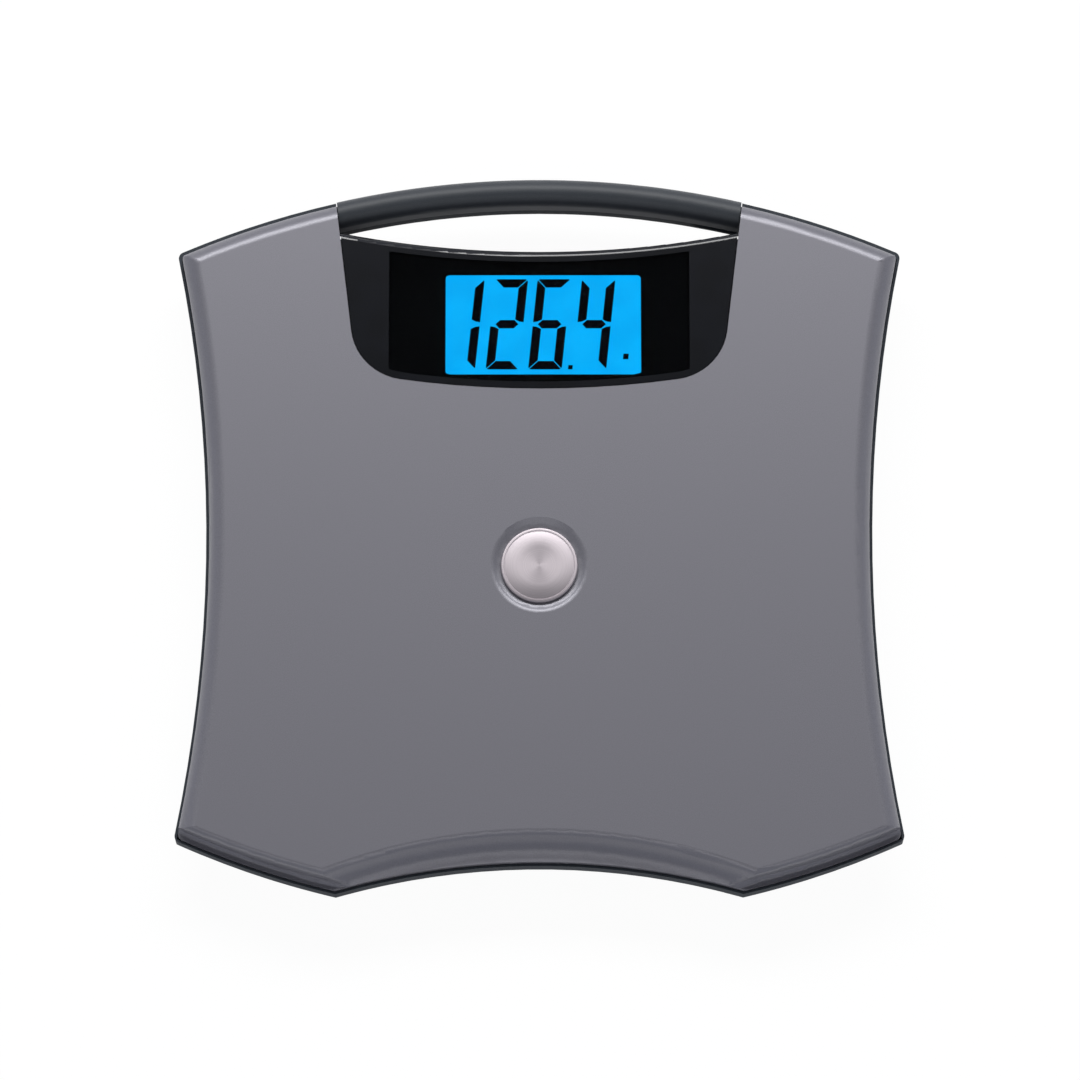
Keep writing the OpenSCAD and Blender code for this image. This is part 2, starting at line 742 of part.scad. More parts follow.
module platform() {
    color(silver) difference() {
        union() {
            difference() {
                platform_body(0, skirt_z);
                difference() {
                    platform_body(platform_wall, skirt_z - over);
                    bay_prism(-platform_wall, bay_wall_z, top_z);
                }
                bay_prism(-platform_wall - shell_gap, skirt_z - over, bay_wall_z);
            }
            intersection() {
                platform_body(platform_wall / 2, skirt_z);
                difference() {
                    union() {
                        for (y = rib_ys) translate([-waist_half - reach, y - rib_w / 2, rib_z])
                            cube([2 * (waist_half + reach), rib_w, rib_h]);
                        for (x = rib_xs) translate([x - rib_w / 2, tip_y, rib_z])
                            cube([rib_w, bay_front_y - tip_y + reach, rib_h]);
                    }
                    bay_prism(-platform_wall / 2, skirt_z - over, top_z);
                }
            }
            translate([0, badge_y, inner_top_z - badge_back_t])
                cylinder(badge_back_t + eps, d = badge_back_d, $fn = fine_fn);
            for (p = case_posts) translate([p[0], p[1], case_post_z + stack_gap])
                cylinder(inner_top_z - case_post_z, d = case_boss_d, $fn = small_fn);
            for (p = foot_places) translate([p[0], p[1], bracket_top_z + rest_gap])
                cylinder(inner_top_z - bracket_top_z, d = load_ring_d, $fn = fine_fn);
        }
        bay_prism(0, 0, top_z + over);
        for (p = foot_places) translate([p[0], p[1], bracket_top_z - over])
            cylinder(inner_top_z - bracket_top_z + over, d = load_ring_bore, $fn = fine_fn);
        for (p = case_posts) translate([p[0], p[1], case_post_z - over])
            cylinder(case_screw_top - case_post_z + 2 * over, r = case_hole_r, $fn = small_fn);
        translate([0, badge_y, top_z - dish_depth])
            cylinder(dish_depth + eps, badge_d / 2 + badge_gap, dish_d / 2, $fn = fine_fn);
    }
}

// The lower shell as a full body, drawn in by a wall
module base_body(w, high) {
    low = base_z + w;
    difference() {
        intersection() {
            revolved(0, back_cy) slab_section(back_r - w, low, high, 0, flare_r - w);
            revolved(0, front_cy) slab_section(front_r - w, low, high, 0, flare_r - w);
        }
        both_sides() revolved(side_cx, waist_y) cutter_section(side_r + w, low, high, 0, flare_r - w);
        revolved(0, scallop_cy) cutter_section(scallop_r + w, low, high, 0, flare_r - w);
        if (w == 0) translate([0, 0, base_z - over]) linear_extrude(high) corner_wastes(0, 0, 0);
    }
}

// Section of the handle bar between two heights
module handle_section(in, low, high) {
    r = handle_round - in;
    intersection() {
        union() {
            translate([handle_mid_r, handle_top_z - handle_round]) circle(r, $fn = fine_fn);
            translate([handle_mid_r, handle_low_z + handle_round]) circle(r, $fn = fine_fn);
            translate([handle_mid_r - r, handle_low_z + handle_round])
                square([2 * r, handle_top_z - handle_low_z - 2 * handle_round]);
        }
        translate([handle_mid_r - handle_w, low]) square([2 * handle_w, high - low]);
    }
}

module handle_bar(in, low, high) {
    translate([0, back_cy, 0]) rotate([0, 0, 90 - handle_half_angle])
        rotate_extrude(angle = 2 * handle_half_angle, $fn = arc_fn) handle_section(in, low, high);
}

module at_handle_screws() {
    for (a = handle_screw_angles)
        translate([0, back_cy, 0]) rotate([0, 0, a]) translate([0, handle_mid_r, 0]) children();
}

module at_housing_posts() {
    both_sides() for (p = housing_posts) translate([p[0], p[1], 0]) children();
}

module base_tray() {
    color(slate) difference() {
        union() {
            difference() {
                base_body(0, rim_z);
                difference() {
                    base_body(base_wall, rim_z + over);
                    translate([0, 0, base_z]) linear_extrude(rim_z) handle_zone(-base_wall);
                }
                translate([0, 0, seat_z]) linear_extrude(rim_z) difference() {
                    outline(lip_back, lip_side, lip_front);
                    handle_zone(-base_wall);
                }
                translate([0, 0, base_z - over]) linear_extrude(rim_z) handle_zone(0);
            }
            intersection() {
                handle_bar(0, handle_low_z, handle_split_z);
                linear_extrude(rim_z) handle_zone(-handle_root);
            }
            for (p = foot_places) {
                translate([p[0] - cell_w / 2, p[1] - cell_w / 2, floor_z - eps])
                    cube([cell_w, cell_w, cell_z - rest_gap - floor_z + eps]);
                for (s = [-1, 1])
                    translate([p[0] + s * bracket_screw_at, p[1] - s * bracket_screw_at, floor_z - eps])
                        cylinder(bracket_pad_h + eps, d = bracket_pad_d, $fn = small_fn);
            }
            for (p = case_posts) translate([p[0], p[1], floor_z - eps])
                cylinder(case_post_z - floor_z + eps, d = case_post_d, $fn = small_fn);
            at_housing_posts() translate([0, 0, floor_z - eps])
                cylinder(bay_wall_z - shell_gap - floor_z - 3, d = housing_boss_d + 1, $fn = small_fn);
            translate([-bay_box_half, bay_low_y - cell_bay_wall, base_z])
                cube([2 * bay_box_half, bay_box_l, cell_bay_roof_z + cell_bay_wall - base_z]);
            for (s = [-1, 1]) translate([button_x + s * switch_post_x, button_y, floor_z - eps])
                cylinder(switch_board_z - floor_z - rest_gap, d = switch_post_d, $fn = small_fn);
            both_sides() translate([base_rib_x - rib_w / 2, base_rib_low_y, floor_z - eps])
                cube([rib_w, base_rib_l, base_rib_h + eps]);
        }
        handle_cut_z = handle_low_z - over;
        at_handle_screws() {
            translate([0, 0, handle_cut_z])
                cylinder(handle_head_z - handle_cut_z, d = case_head_d + counterbore_play, $fn = small_fn);
            translate([0, 0, handle_cut_z]) cylinder(rim_z, r = case_hole_r, $fn = small_fn);
        }
        for (p = foot_places) translate([p[0], p[1], 0]) {
            cylinder(rim_z, r = foot_d / 2 + foot_play, $fn = fine_fn);
            translate([0, 0, floor_z]) cylinder(rim_z, d = tower_bore, $fn = fine_fn);
            for (s = [-1, 1]) translate([s * bracket_screw_at, -s * bracket_screw_at, 0]) {
                cylinder(bracket_head_z, d = small_head_d + counterbore_play, $fn = small_fn);
                cylinder(rim_z, r = small_hole_r, $fn = small_fn);
            }
        }
        for (p = case_posts) translate([p[0], p[1], 0]) {
            cylinder(case_head_z, d = case_head_d + counterbore_play, $fn = small_fn);
            cylinder(rim_z, r = case_hole_r, $fn = small_fn);
        }
        at_housing_posts() {
            cylinder(case_head_z, d = case_head_d + counterbore_play, $fn = small_fn);
            cylinder(rim_z, r = case_hole_r, $fn = small_fn);
        }
        translate([-cell_bay_half, bay_low_y, base_z - over])
            cube([2 * cell_bay_half, cell_bay_l, cell_bay_roof_z - base_z + over]);
        translate([-cell_bay_half - trunnion_l, hinge_y, hinge_z]) rotate([0, 90, 0])
            cylinder(2 * (cell_bay_half + trunnion_l), r = trunnion_r + trunnion_play, $fn = small_fn);
        translate([button_x, button_y, 0])
            cylinder(floor_z + over, r = button_d / 2 + button_play, $fn = small_fn);
        for (s = [-1, 1]) translate([button_x + s * switch_post_x, button_y, floor_z])
            cylinder(rim_z, r = small_hole_r, $fn = small_fn);
    }
}

module handle_grip() {
    screw_r = case_hole_r;
    color(slate) difference() {
        intersection() {
            union() {
                difference() {
                    handle_bar(0, handle_split_z + rest_gap, handle_top_z + over);
                    handle_bar(handle_wall, handle_split_z - over, handle_top_z + over);
                }
                intersection() {
                    handle_bar(0.4, handle_split_z + rest_gap, handle_top_z - 1);
                    at_handle_screws() cylinder(handle_top_z, d = handle_boss_d, $fn = small_fn);
                }
            }
            linear_extrude(top_z) handle_zone(handle_end_gap);
        }
        at_handle_screws() translate([0, 0, handle_split_z - over])
            cylinder(handle_screw_top - handle_split_z + 2 * over, r = screw_r, $fn = small_fn);
    }
}

module lens_outline(in) {
    intersection() {
        display_outline(housing_gap + lens_margin + in);
        translate([-lens_half + in, 0]) square([2 * (lens_half - in), scale_depth]);
    }
}

module behind_gap_wall(in) translate([0, gap_front_cy]) circle(gap_front_r + in, $fn = arc_fn);

module display_housing() {
    wall_r = gap_front_r;
    color(gloss_black) difference() {
        union() {
            translate([0, 0, housing_low_z]) linear_extrude(housing_plate) difference() {
                display_outline(housing_gap);
                behind_gap_wall(0);
            }
            translate([0, 0, bay_wall_z]) linear_extrude(housing_low_z - bay_wall_z + eps) difference() {
                display_outline(housing_gap);
                behind_gap_wall(0);
                difference() {
                    display_outline(housing_gap + housing_wall);
                    behind_gap_wall(housing_wall);
                }
            }
            at_housing_posts() translate([0, 0, housing_boss_z])
                cylinder(housing_low_z - housing_boss_z + eps, d = housing_boss_d, $fn = small_fn);
            at_board_screws() translate([0, 0, board_top_z + rest_gap])
                cylinder(housing_low_z - board_top_z, d = board_boss_d, $fn = small_fn);
        }
        revolved(0, gap_front_cy) cutter_section(wall_r, housing_low_z, housing_top_z, housing_edge_r, 0);
        translate([0, 0, lens_low_z]) linear_extrude(housing_plate) difference() {
            lens_outline(0);
            behind_gap_wall(housing_gap + lens_margin + 2);
        }
        translate([lcd_x - window_w / 2 - 1, lcd_y - window_d / 2 - 1, housing_low_z - over])
            cube([window_w + 2, window_d + 2, housing_plate + 2 * over]);
        at_housing_posts() translate([0, 0, rim_z - 5])
            cylinder(housing_screw_top - rim_z + 5 + over, r = case_hole_r, $fn = small_fn);
        at_board_screws() translate([0, 0, board_top_z])
            cylinder(board_screw_top - board_top_z + over, r = small_hole_r, $fn = small_fn);
    }
}

module display_lens() {
    color(gloss_black, 0.8) translate([0, 0, lens_low_z + lens_gap]) linear_extrude(lens_t) difference() {
        lens_outline(lens_gap);
        behind_gap_wall(housing_gap + lens_margin + 2 + lens_gap);
    }
}

module stack_plate(w, d, low, t) {
    translate([lcd_x - w / 2, lcd_y - d / 2, low]) cube([w, d, t]);
}

module lcd_glass() {
    color(lcd_blue) stack_plate(lcd_w, lcd_d, lcd_low_z, lcd_t);
}

module lcd_frame() {
    frame_h = lcd_top_z - frame_low_z;
    slot_l = zebra_l + 2 * frame_play;
    slot_w = zebra_w + 2 * frame_play;
    color(moulded_grey) difference() {
        stack_plate(pocket_w + 2 * frame_wall, pocket_d + 2 * frame_wall, frame_low_z, frame_h);
        stack_plate(pocket_w, pocket_d, frame_low_z + frame_floor, lcd_top_z);
        for (s = [-1, 1]) translate([0, s * zebra_y, 0])
            stack_plate(slot_l, slot_w, frame_low_z - over, frame_floor + 2 * over);
    }
}

module diffuser_sheet() {
    color("white") stack_plate(sheet_w, guide_d, guide_top_z + rest_gap, sheet_t);
}

module light_guide() {
    color("azure") translate([led_strip_w / 2 + stack_gap, 0, 0])
        stack_plate(sheet_w - led_strip_w - 2 * stack_gap, guide_d, guide_low_z, guide_t);
}

module reflector_sheet() {
    color("white") stack_plate(sheet_w, guide_d, reflector_low_z - rest_gap, sheet_t);
}

module led_strip() {
    led_w = led_strip_w - led_tape_t;
    color("ivory") translate([lcd_x - sheet_w / 2, lcd_y - guide_d / 2, guide_low_z]) {
        cube([led_tape_t, guide_d, guide_t]);
        for (i = [0:leds - 1]) translate([led_tape_t - eps, guide_d * (i + 0.5) / leds - led_l / 2, led_rim])
            cube([led_w + eps, led_l, guide_t - 2 * led_rim]);
    }
}

module zebra_strips() {
    color("hotpink") for (s = [-1, 1]) translate([0, s * zebra_y, 0])
        stack_plate(zebra_l, zebra_w, board_top_z + rest_gap, lcd_low_z - board_top_z - 2 * rest_gap);
}

module at_board_screws() {
    for (x = [-1, 1], y = [-1, 1])
        translate([board_x + x * board_boss_x, board_y + y * board_boss_y, 0]) children();
}

module main_board() {
    ear_x = board_boss_x + board_ear;
    color(board_green) difference() {
        union() {
            translate([board_x - board_half, board_y - board_d / 2, board_low_z])
                cube([2 * board_half, board_d, board_t]);
            for (s = [-1, 1])
                translate([board_x - ear_x, board_y + s * board_boss_y - board_ear, board_low_z])
                    cube([2 * ear_x, 2 * board_ear, board_t]);
        }
        at_board_screws() cylinder(top_z, r = small_hole_r, $fn = small_fn);
    }
}

module board_chips() {
    color("#232427") translate([board_x, board_y, board_low_z - rest_gap - chip_t]) {
        translate([-chip_w / 2, -chip_w / 2, 0]) cube([chip_w, chip_w, chip_t]);
        for (c = side_chips) translate([c[0], c[1], 0]) cube([c[2], c[3], chip_t]);
    }
}

module board_capacitors() {
    low = board_low_z - rest_gap - cap_h;
    color("#5c6b8a") translate([board_x + capacitor_x, board_y + capacitor_y, low])
        for (i = [0:capacitors - 1]) translate([i * (cap_d + capacitor_gap), 0, 0])
            cylinder(cap_h, d = cap_d, $fn = small_fn);
}

module lead_sockets() {
    color("ivory") translate([0, 0, board_low_z - rest_gap - socket_h]) {
        for (x = front_sockets) translate([x - socket_w / 2, front_socket_y, 0])
            cube([socket_w, socket_d, socket_h]);
        for (s = [-1, 1]) translate([board_x + s * (side_socket_x - socket_d / 2), side_socket_y, 0])
            translate([-socket_d / 2, -socket_w / 2, 0]) cube([socket_d, socket_w, socket_h]);
    }
}

module badge() {
    low = top_z - dish_depth + tape_t;
    color("#c9c7cb") translate([0, badge_y, 0]) rotate_extrude($fn = fine_fn)
        slab_section(badge_d / 2, low, low + badge_t, 0.6, 0);
}

module badge_tape() {
    color("white") translate([0, badge_y, top_z - dish_depth])
        cylinder(tape_t, d = badge_d - 4, $fn = fine_fn);
}

module foot(i) {
    place = foot_places[i];
    color(slate) translate([place[0], place[1], 0]) difference() {
        union() {
            translate([0, 0, foot_low_z])
                cylinder(flange_low_z - foot_low_z + eps, d = foot_d, $fn = fine_fn);
            translate([0, 0, flange_low_z]) cylinder(flange_t, d = flange_d, $fn = fine_fn);
            translate([0, 0, flange_low_z]) cylinder(stud_top_z - flange_low_z, d = stud_d, $fn = small_fn);
        }
        translate([0, 0, -over])
            cylinder(pad_t + stack_gap + over, d = pad_d + 2 * frame_play, $fn = fine_fn);
        translate([0, 0, pad_t + 2.2]) difference() {
            cylinder(top_z, d = foot_d - 4.4, $fn = fine_fn);
            cylinder(top_z, d = stud_d, $fn = small_fn);
        }
    }
}

module pad(i) {
    place = foot_places[i];
    color(rubber_black) translate([place[0], place[1], 0]) rotate_extrude($fn = fine_fn)
        slab_section(pad_d / 2, 0, pad_t, 0, 1);
}

module load_cell(i) {
    place = foot_places[i];
    hollow = cell_w - 2 * cell_frame;
    color(steel) translate([place[0], place[1], cell_z]) {
        difference() {
            translate([-cell_w / 2, -cell_w / 2, 0]) cube([cell_w, cell_w, cell_t]);
            translate([-hollow / 2, -hollow / 2, -over]) cube([hollow, hollow, cell_t + 2 * over]);
        }
        translate([-beam_w / 2, -beam_w / 2, 0]) cube([beam_w, hollow / 2 + beam_w / 2 + eps, cell_t]);
    }
}

module gauge_coats() {
    color("white") for (p = foot_places)
        translate([p[0] - coat_w / 2, p[1] + coat_y - coat_d / 2, cell_top_z])
            cube([coat_w, coat_d, coat_h]);
}

module cell_bracket(i) {
    place = foot_places[i];
    inward = place[0] > 0 ? -1 : 1;
    pocket = cell_w + 2 * cell_play;
    slot_w = lead_d + 1.2;
    color(moulded_grey) translate([place[0], place[1], 0]) difference() {
        translate([-bracket_w / 2, -bracket_w / 2, floor_z + rest_gap])
            cube([bracket_w, bracket_w, bracket_top_z - floor_z - rest_gap]);
        translate([-pocket / 2, -pocket / 2, 0]) cube([pocket, pocket, plate_low_z]);
        cylinder(top_z, d = bracket_hole_d, $fn = fine_fn);
        translate([inward > 0 ? 0 : -bracket_w, coat_y - slot_w / 2, plate_low_z - eps])
            cube([bracket_w, slot_w, rim_z]);
        for (s = [-1, 1]) translate([s * bracket_screw_at, -s * bracket_screw_at, 0]) {
            cylinder(floor_z + bracket_pad_h + rest_gap, d = bracket_pad_d + 2 * frame_play, $fn = small_fn);
            cylinder(bracket_screw_top + over, r = small_hole_r, $fn = small_fn);
        }
    }
}

module battery_door() {
    half = cell_bay_half - door_gap;
    trunnion_half = cell_bay_half + trunnion_l - trunnion_end;
    color(slate) difference() {
        union() {
            translate([-half, bay_low_y + door_gap, base_z])
                cube([2 * half, hinge_y - bay_low_y - door_gap, door_t]);
            translate([0, hinge_y, hinge_z]) rotate([0, 90, 0]) {
                cylinder(2 * half, r = barrel_r, center = true, $fn = small_fn);
                cylinder(2 * trunnion_half, r = trunnion_r, center = true, $fn = small_fn);
            }
        }
        translate([-notch_w / 2, bay_low_y - over, base_z - over])
            cube([notch_w, notch_d + over, notch_h + over]);
    }
}

module battery(i) {
    x = (i - 1.5) * battery_pitch;
    turned = i % 2 == 1;
    spring_end = plate_t + stack_gap + spring_h;
    body_y = turned ? bay_high_y - spring_end - battery_l : bay_low_y + spring_end;
    color(i % 2 == 0 ? "goldenrod" : "darkgoldenrod") translate([x, 0, battery_z]) {
        translate([0, body_y + battery_l, 0]) rotate([90, 0, 0])
            cylinder(battery_l, d = battery_d, $fn = fine_fn);
        translate([0, turned ? body_y + eps : body_y + battery_l + nub_h, 0]) rotate([90, 0, 0])
            cylinder(nub_h + eps, d = nub_d, $fn = small_fn);
    }
}

module battery_springs() {
    steps = 8;
    last = spring_turns * steps;
    length = spring_h - spring_wire - stack_gap;
    color(steel) for (i = [0:3]) {
        x = (i - 1.5) * battery_pitch;
        start = i % 2 == 1 ? bay_high_y - plate_t - rest_gap : bay_low_y + plate_t + rest_gap;
        way = i % 2 == 1 ? -1 : 1;
        first = start + way * spring_wire / 2;
        points = [for (k = [0:last]) let (a = 360 * k / steps)
            [x + spring_r * cos(a), first + way * length * k / last, battery_z + spring_r * sin(a)]];
        rings = [for (k = [0:last])
            each ring_at(points[k], route_dir(points, k), [0, 1, 0], spring_wire / 2, spring_sides)];
        tube_faces(rings, last + 1, spring_sides);
    }
}

module contact_plate(x_low, x_high, y) {
    translate([x_low, y, battery_z - contact_h / 2]) cube([x_high - x_low, plate_t, contact_h]);
}

module battery_plates() {
    half = contact_h / 2;
    x_at = [for (i = [0:3]) (i - 1.5) * battery_pitch];
    high = bay_high_y - plate_t - contact_gap;
    color("gold") {
        for (i = [0, 2]) contact_plate(x_at[i] - half, x_at[i + 1] + half, bay_low_y + contact_gap);
        contact_plate(x_at[1] - half, x_at[2] + half, high);
        for (i = [0, 3]) contact_plate(x_at[i] - half, x_at[i] + half, high);
    }
}

module unit_button() {
    color(moulded_grey) translate([button_x, button_y, 0]) {
        translate([0, 0, button_low_z]) cylinder(button_top_z - button_low_z, d = button_d, $fn = small_fn);
        translate([0, 0, button_flange_z]) cylinder(1, d = button_flange_d, $fn = small_fn);
    }
}

module tact_plunger() {
    color("black") translate([button_x, button_y, button_top_z])
        cylinder(plunger_top_z - button_top_z, d = plunger_d, $fn = small_fn);
}

module tact_switch() {
    color(steel) translate([button_x, button_y, 0]) difference() {
        translate([-switch_w / 2, -switch_w / 2, switch_low_z]) cube([switch_w, switch_w, switch_h - 0.02]);
        translate([0, 0, switch_low_z - over])
            cylinder(plunger_room_z - switch_low_z + over, r = plunger_d / 2 + screw_play, $fn = small_fn);
    }
}

module switch_board() {
    color(board_green) translate([button_x, button_y, switch_board_z]) difference() {
        translate([-switch_board_w / 2, -switch_board_d / 2, 0])
            cube([switch_board_w, switch_board_d, board_t]);
        for (s = [-1, 1]) translate([s * switch_post_x, 0, -over])
            cylinder(board_t + 2 * over, r = small_hole_r, $fn = small_fn);
    }
}

// A pan-head screw that points up, its head's upper face at z = 0
module screw(d, head_d, length) {
    translate([0, 0, -head_h]) cylinder(head_h, d = head_d, $fn = small_fn);
    translate([0, 0, -eps]) cylinder(length + eps, d = d, $fn = small_fn);
}

module case_screws() {
    color(steel) for (p = case_posts) translate([p[0], p[1], case_head_z - rest_gap])
        screw(case_screw_d, case_head_d, case_screw_top - case_head_z);
}

module bracket_screws() {
    color(steel) for (p = foot_places, s = [-1, 1])
        translate([p[0] + s * bracket_screw_at, p[1] - s * bracket_screw_at, bracket_head_z - rest_gap])
            screw(small_screw_d, small_head_d, bracket_screw_top - bracket_head_z);
}

module handle_screws() {
    color(steel) at_handle_screws() translate([0, 0, handle_head_z - rest_gap])
        screw(case_screw_d, case_head_d, handle_screw_top - handle_head_z);
}

module housing_screws() {
    color(steel) at_housing_posts() translate([0, 0, case_head_z - rest_gap])
        screw(case_screw_d, case_head_d, housing_screw_top - case_head_z);
}

module board_screws() {
    color(steel) at_board_screws() translate([0, 0, board_low_z - rest_gap])
        screw(small_screw_d, small_head_d, board_screw_top - board_low_z);
}

module switch_screws() {
    color(steel) translate([button_x, button_y, switch_board_z + board_t + rest_gap])
        for (s = [-1, 1]) translate([s * switch_post_x, 0, 0])
            mirror([0, 0, 1]) screw(small_screw_d, small_head_d, board_t + switch_screw_reach);
}

platform();
base_tray();
handle_grip();
display_housing();
display_lens();
lcd_glass();
lcd_frame();
diffuser_sheet();
light_guide();
reflector_sheet();
led_strip();
zebra_strips();
main_board();
board_chips();
board_capacitors();
lead_sockets();
badge();
badge_tape();
foot(0);  // foot_fl
foot(1);  // foot_fr
foot(2);  // foot_rl
foot(3);  // foot_rr
pad(0);  // pad_fl
pad(1);  // pad_fr
pad(2);  // pad_rl
pad(3);  // pad_rr
load_cell(0);  // load_cell_fl
load_cell(1);  // load_cell_fr
load_cell(2);  // load_cell_rl
load_cell(3);  // load_cell_rr
cell_bracket(0);  // cell_bracket_fl
cell_bracket(1);  // cell_bracket_fr
cell_bracket(2);  // cell_bracket_rl
cell_bracket(3);  // cell_bracket_rr
gauge_coats();
battery_door();
battery(0);  // battery_1
battery(1);  // battery_2
battery(2);  // battery_3
battery(3);  // battery_4
battery_springs();
battery_plates();
unit_button();
tact_plunger();
tact_switch();
switch_board();
case_screws();
bracket_screws();
handle_screws();
housing_screws();
board_screws();
switch_screws();
lead(route_fl);  // cell_lead_fl
lead(route_fr);  // cell_lead_fr
lead(route_rl);  // cell_lead_rl
lead(route_rr);  // cell_lead_rr
lead(route_battery);  // battery_lead
lead(route_switch);  // switch_lead
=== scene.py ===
"""Looks for the bathroom scale: its finishes, the lit display, the turned badge, and small hardware."""

import math

import bmesh
import bpy
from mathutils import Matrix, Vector


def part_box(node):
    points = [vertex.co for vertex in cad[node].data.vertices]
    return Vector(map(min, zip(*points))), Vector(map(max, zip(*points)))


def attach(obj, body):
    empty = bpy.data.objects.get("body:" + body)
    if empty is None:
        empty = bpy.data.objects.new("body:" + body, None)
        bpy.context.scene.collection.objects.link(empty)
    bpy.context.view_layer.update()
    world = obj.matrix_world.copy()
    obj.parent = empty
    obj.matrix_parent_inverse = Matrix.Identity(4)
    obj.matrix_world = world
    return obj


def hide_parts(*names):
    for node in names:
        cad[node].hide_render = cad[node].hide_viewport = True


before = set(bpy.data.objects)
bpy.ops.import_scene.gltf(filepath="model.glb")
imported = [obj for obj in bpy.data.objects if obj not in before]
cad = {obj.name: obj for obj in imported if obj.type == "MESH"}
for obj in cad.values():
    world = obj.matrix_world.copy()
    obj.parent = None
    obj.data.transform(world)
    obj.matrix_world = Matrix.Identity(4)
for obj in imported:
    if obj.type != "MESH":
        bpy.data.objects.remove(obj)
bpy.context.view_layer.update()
MM = 0.001
# Sockets of a Mix node that mixes colours: its two inputs and its output
MIX_A, MIX_B, MIX_OUT = 6, 7, 2


def linear(code):
    """Turns an sRGB hex code into the linear colour that a shader reads."""
    parts = [int(code[i:i + 2], 16) / 255 for i in (1, 3, 5)]
    return tuple(c / 12.92 if c <= 0.04045 else ((c + 0.055) / 1.055) ** 2.4 for c in parts) + (1.0,)


def put(material, kind, settings=None, links=None):
    """Adds one node to a material, with its settings and with links from other nodes' outputs."""
    made = material.node_tree.nodes.new("ShaderNode" + kind)
    for name, value in (settings or {}).items():
        if isinstance(name, int) or name in made.inputs:
            made.inputs[name].default_value = value
        else:
            setattr(made, name, value)
    for name, source in (links or {}).items():
        material.node_tree.links.new(source, made.inputs[name])
    return made


def begin(name):
    """Starts a material and gives it with its place in the object's own space, in metres."""
    material = bpy.data.materials.new(name)
    material.use_nodes = True
    material.node_tree.nodes.clear()
    return material, put(material, "TexCoord").outputs["Object"]


def close(material, settings, links=None):
    """Ends a material with its surface shader."""
    surface = put(material, "BsdfPrincipled", settings, links)
    put(material, "OutputMaterial", links={"Surface": surface.outputs["BSDF"]})
    material.diffuse_color = surface.inputs["Base Color"].default_value
    return material


def speckle(material, place, size_mm, dark, light, detail=2.0, low=0.35, high=0.65):
    """A soft mottle between two near colours. Gives the colour and the noise that drives it."""
    noise = put(material, "TexNoise", {"Scale": 1 / (size_mm * MM), "Detail": detail}, {"Vector": place})
    mask = put(material, "MapRange", {"From Min": low, "From Max": high}, {"Value": noise.outputs["Fac"]})
    mix = put(material, "Mix", {"data_type": "RGBA", MIX_A: linear(dark), MIX_B: linear(light)},
              {"Factor": mask.outputs["Result"]})
    return mix.outputs[MIX_OUT], noise.outputs["Fac"]


def relief(material, height, depth_mm, strength=0.5, under=None):
    """Surface relief of a real depth. Gives the bent normal."""
    links = {"Height": height}
    if under is not None:
        links["Normal"] = under
    return put(material, "Bump", {"Strength": strength, "Distance": depth_mm * MM}, links).outputs["Normal"]


# Satin silver lacquer on moulded ABS: an even mid grey whose fine aluminium flake gives a soft sheen
def silver_lacquer():
    material, place = begin("satin_silver_lacquer")
    colour, flake = speckle(material, place, 0.35, "#7b7a81", "#86858c", detail=1.0)
    peel = put(material, "TexNoise", {"Scale": 1 / (1.4 * MM), "Detail": 1.0}, {"Vector": place})
    coarse = relief(material, peel.outputs["Fac"], 0.02, 0.25)
    fine = relief(material, flake, 0.01, 0.2, coarse)
    return close(material, {"Metallic": 0.35, "Roughness": 0.38, "IOR": 1.5, "Coat Weight": 0.12,
                            "Coat Roughness": 0.25}, {"Base Color": colour, "Normal": fine})


# Dark slate ABS with a spark-eroded grain: matt, it scatters light in tiny glints
def slate_abs():
    material, place = begin("grained_slate_abs")
    colour, _ = speckle(material, place, 2.5, "#34393f", "#3b4046")
    grain = put(material, "TexVoronoi", {"Scale": 1 / (0.5 * MM), "feature": "SMOOTH_F1"}, {"Vector": place})
    return close(material, {"Roughness": 0.58, "IOR": 1.5, "Specular IOR Level": 0.2},
                 {"Base Color": colour, "Normal": relief(material, grain.outputs["Distance"], 0.05, 0.35)})


# Soft-touch elastomer over the grip: near-black slate with a broad, silky highlight
def grip_elastomer():
    material, place = begin("soft_touch_elastomer")
    colour, dust = speckle(material, place, 0.6, "#2b3036", "#30353b")
    return close(material, {"Roughness": 0.5, "IOR": 1.5, "Sheen Weight": 0.3, "Sheen Roughness": 0.5},
                 {"Base Color": colour, "Normal": relief(material, dust, 0.02, 0.3)})


# Polished black ABS: deep blue-black that mirrors the room, with a trace of waviness from the mould
def polished_abs():
    material, place = begin("polished_black_abs")
    colour, wave = speckle(material, place, 9.0, "#0c0e13", "#0f1117", detail=0.0)
    return close(material, {"Roughness": 0.2, "IOR": 1.54, "Coat Weight": 0.1, "Coat Roughness": 0.08},
                 {"Base Color": colour, "Normal": relief(material, wave, 0.02, 0.1)})


# Smoked acrylic: grey in its depth, sharp reflections, almost no waviness
def window_acrylic():
    material, place = begin("smoked_acrylic")
    wave = put(material, "TexNoise", {"Scale": 1 / (14 * MM), "Detail": 0.0}, {"Vector": place})
    return close(material, {"Base Color": linear("#b4b8bc"), "Roughness": 0.02, "IOR": 1.49,
                            "Transmission Weight": 1.0},
                 {"Normal": relief(material, wave.outputs["Fac"], 0.005, 0.05)})


# Screen-printed black ink behind the window: dense and flat, so the window looks bottomless
def window_ink():
    material, place = begin("screen_printed_ink")
    colour, pits = speckle(material, place, 0.4, "#020203", "#040405")
    return close(material, {"Roughness": 0.6, "Specular IOR Level": 0.2},
                 {"Base Color": colour, "Normal": relief(material, pits, 0.01, 0.2)})


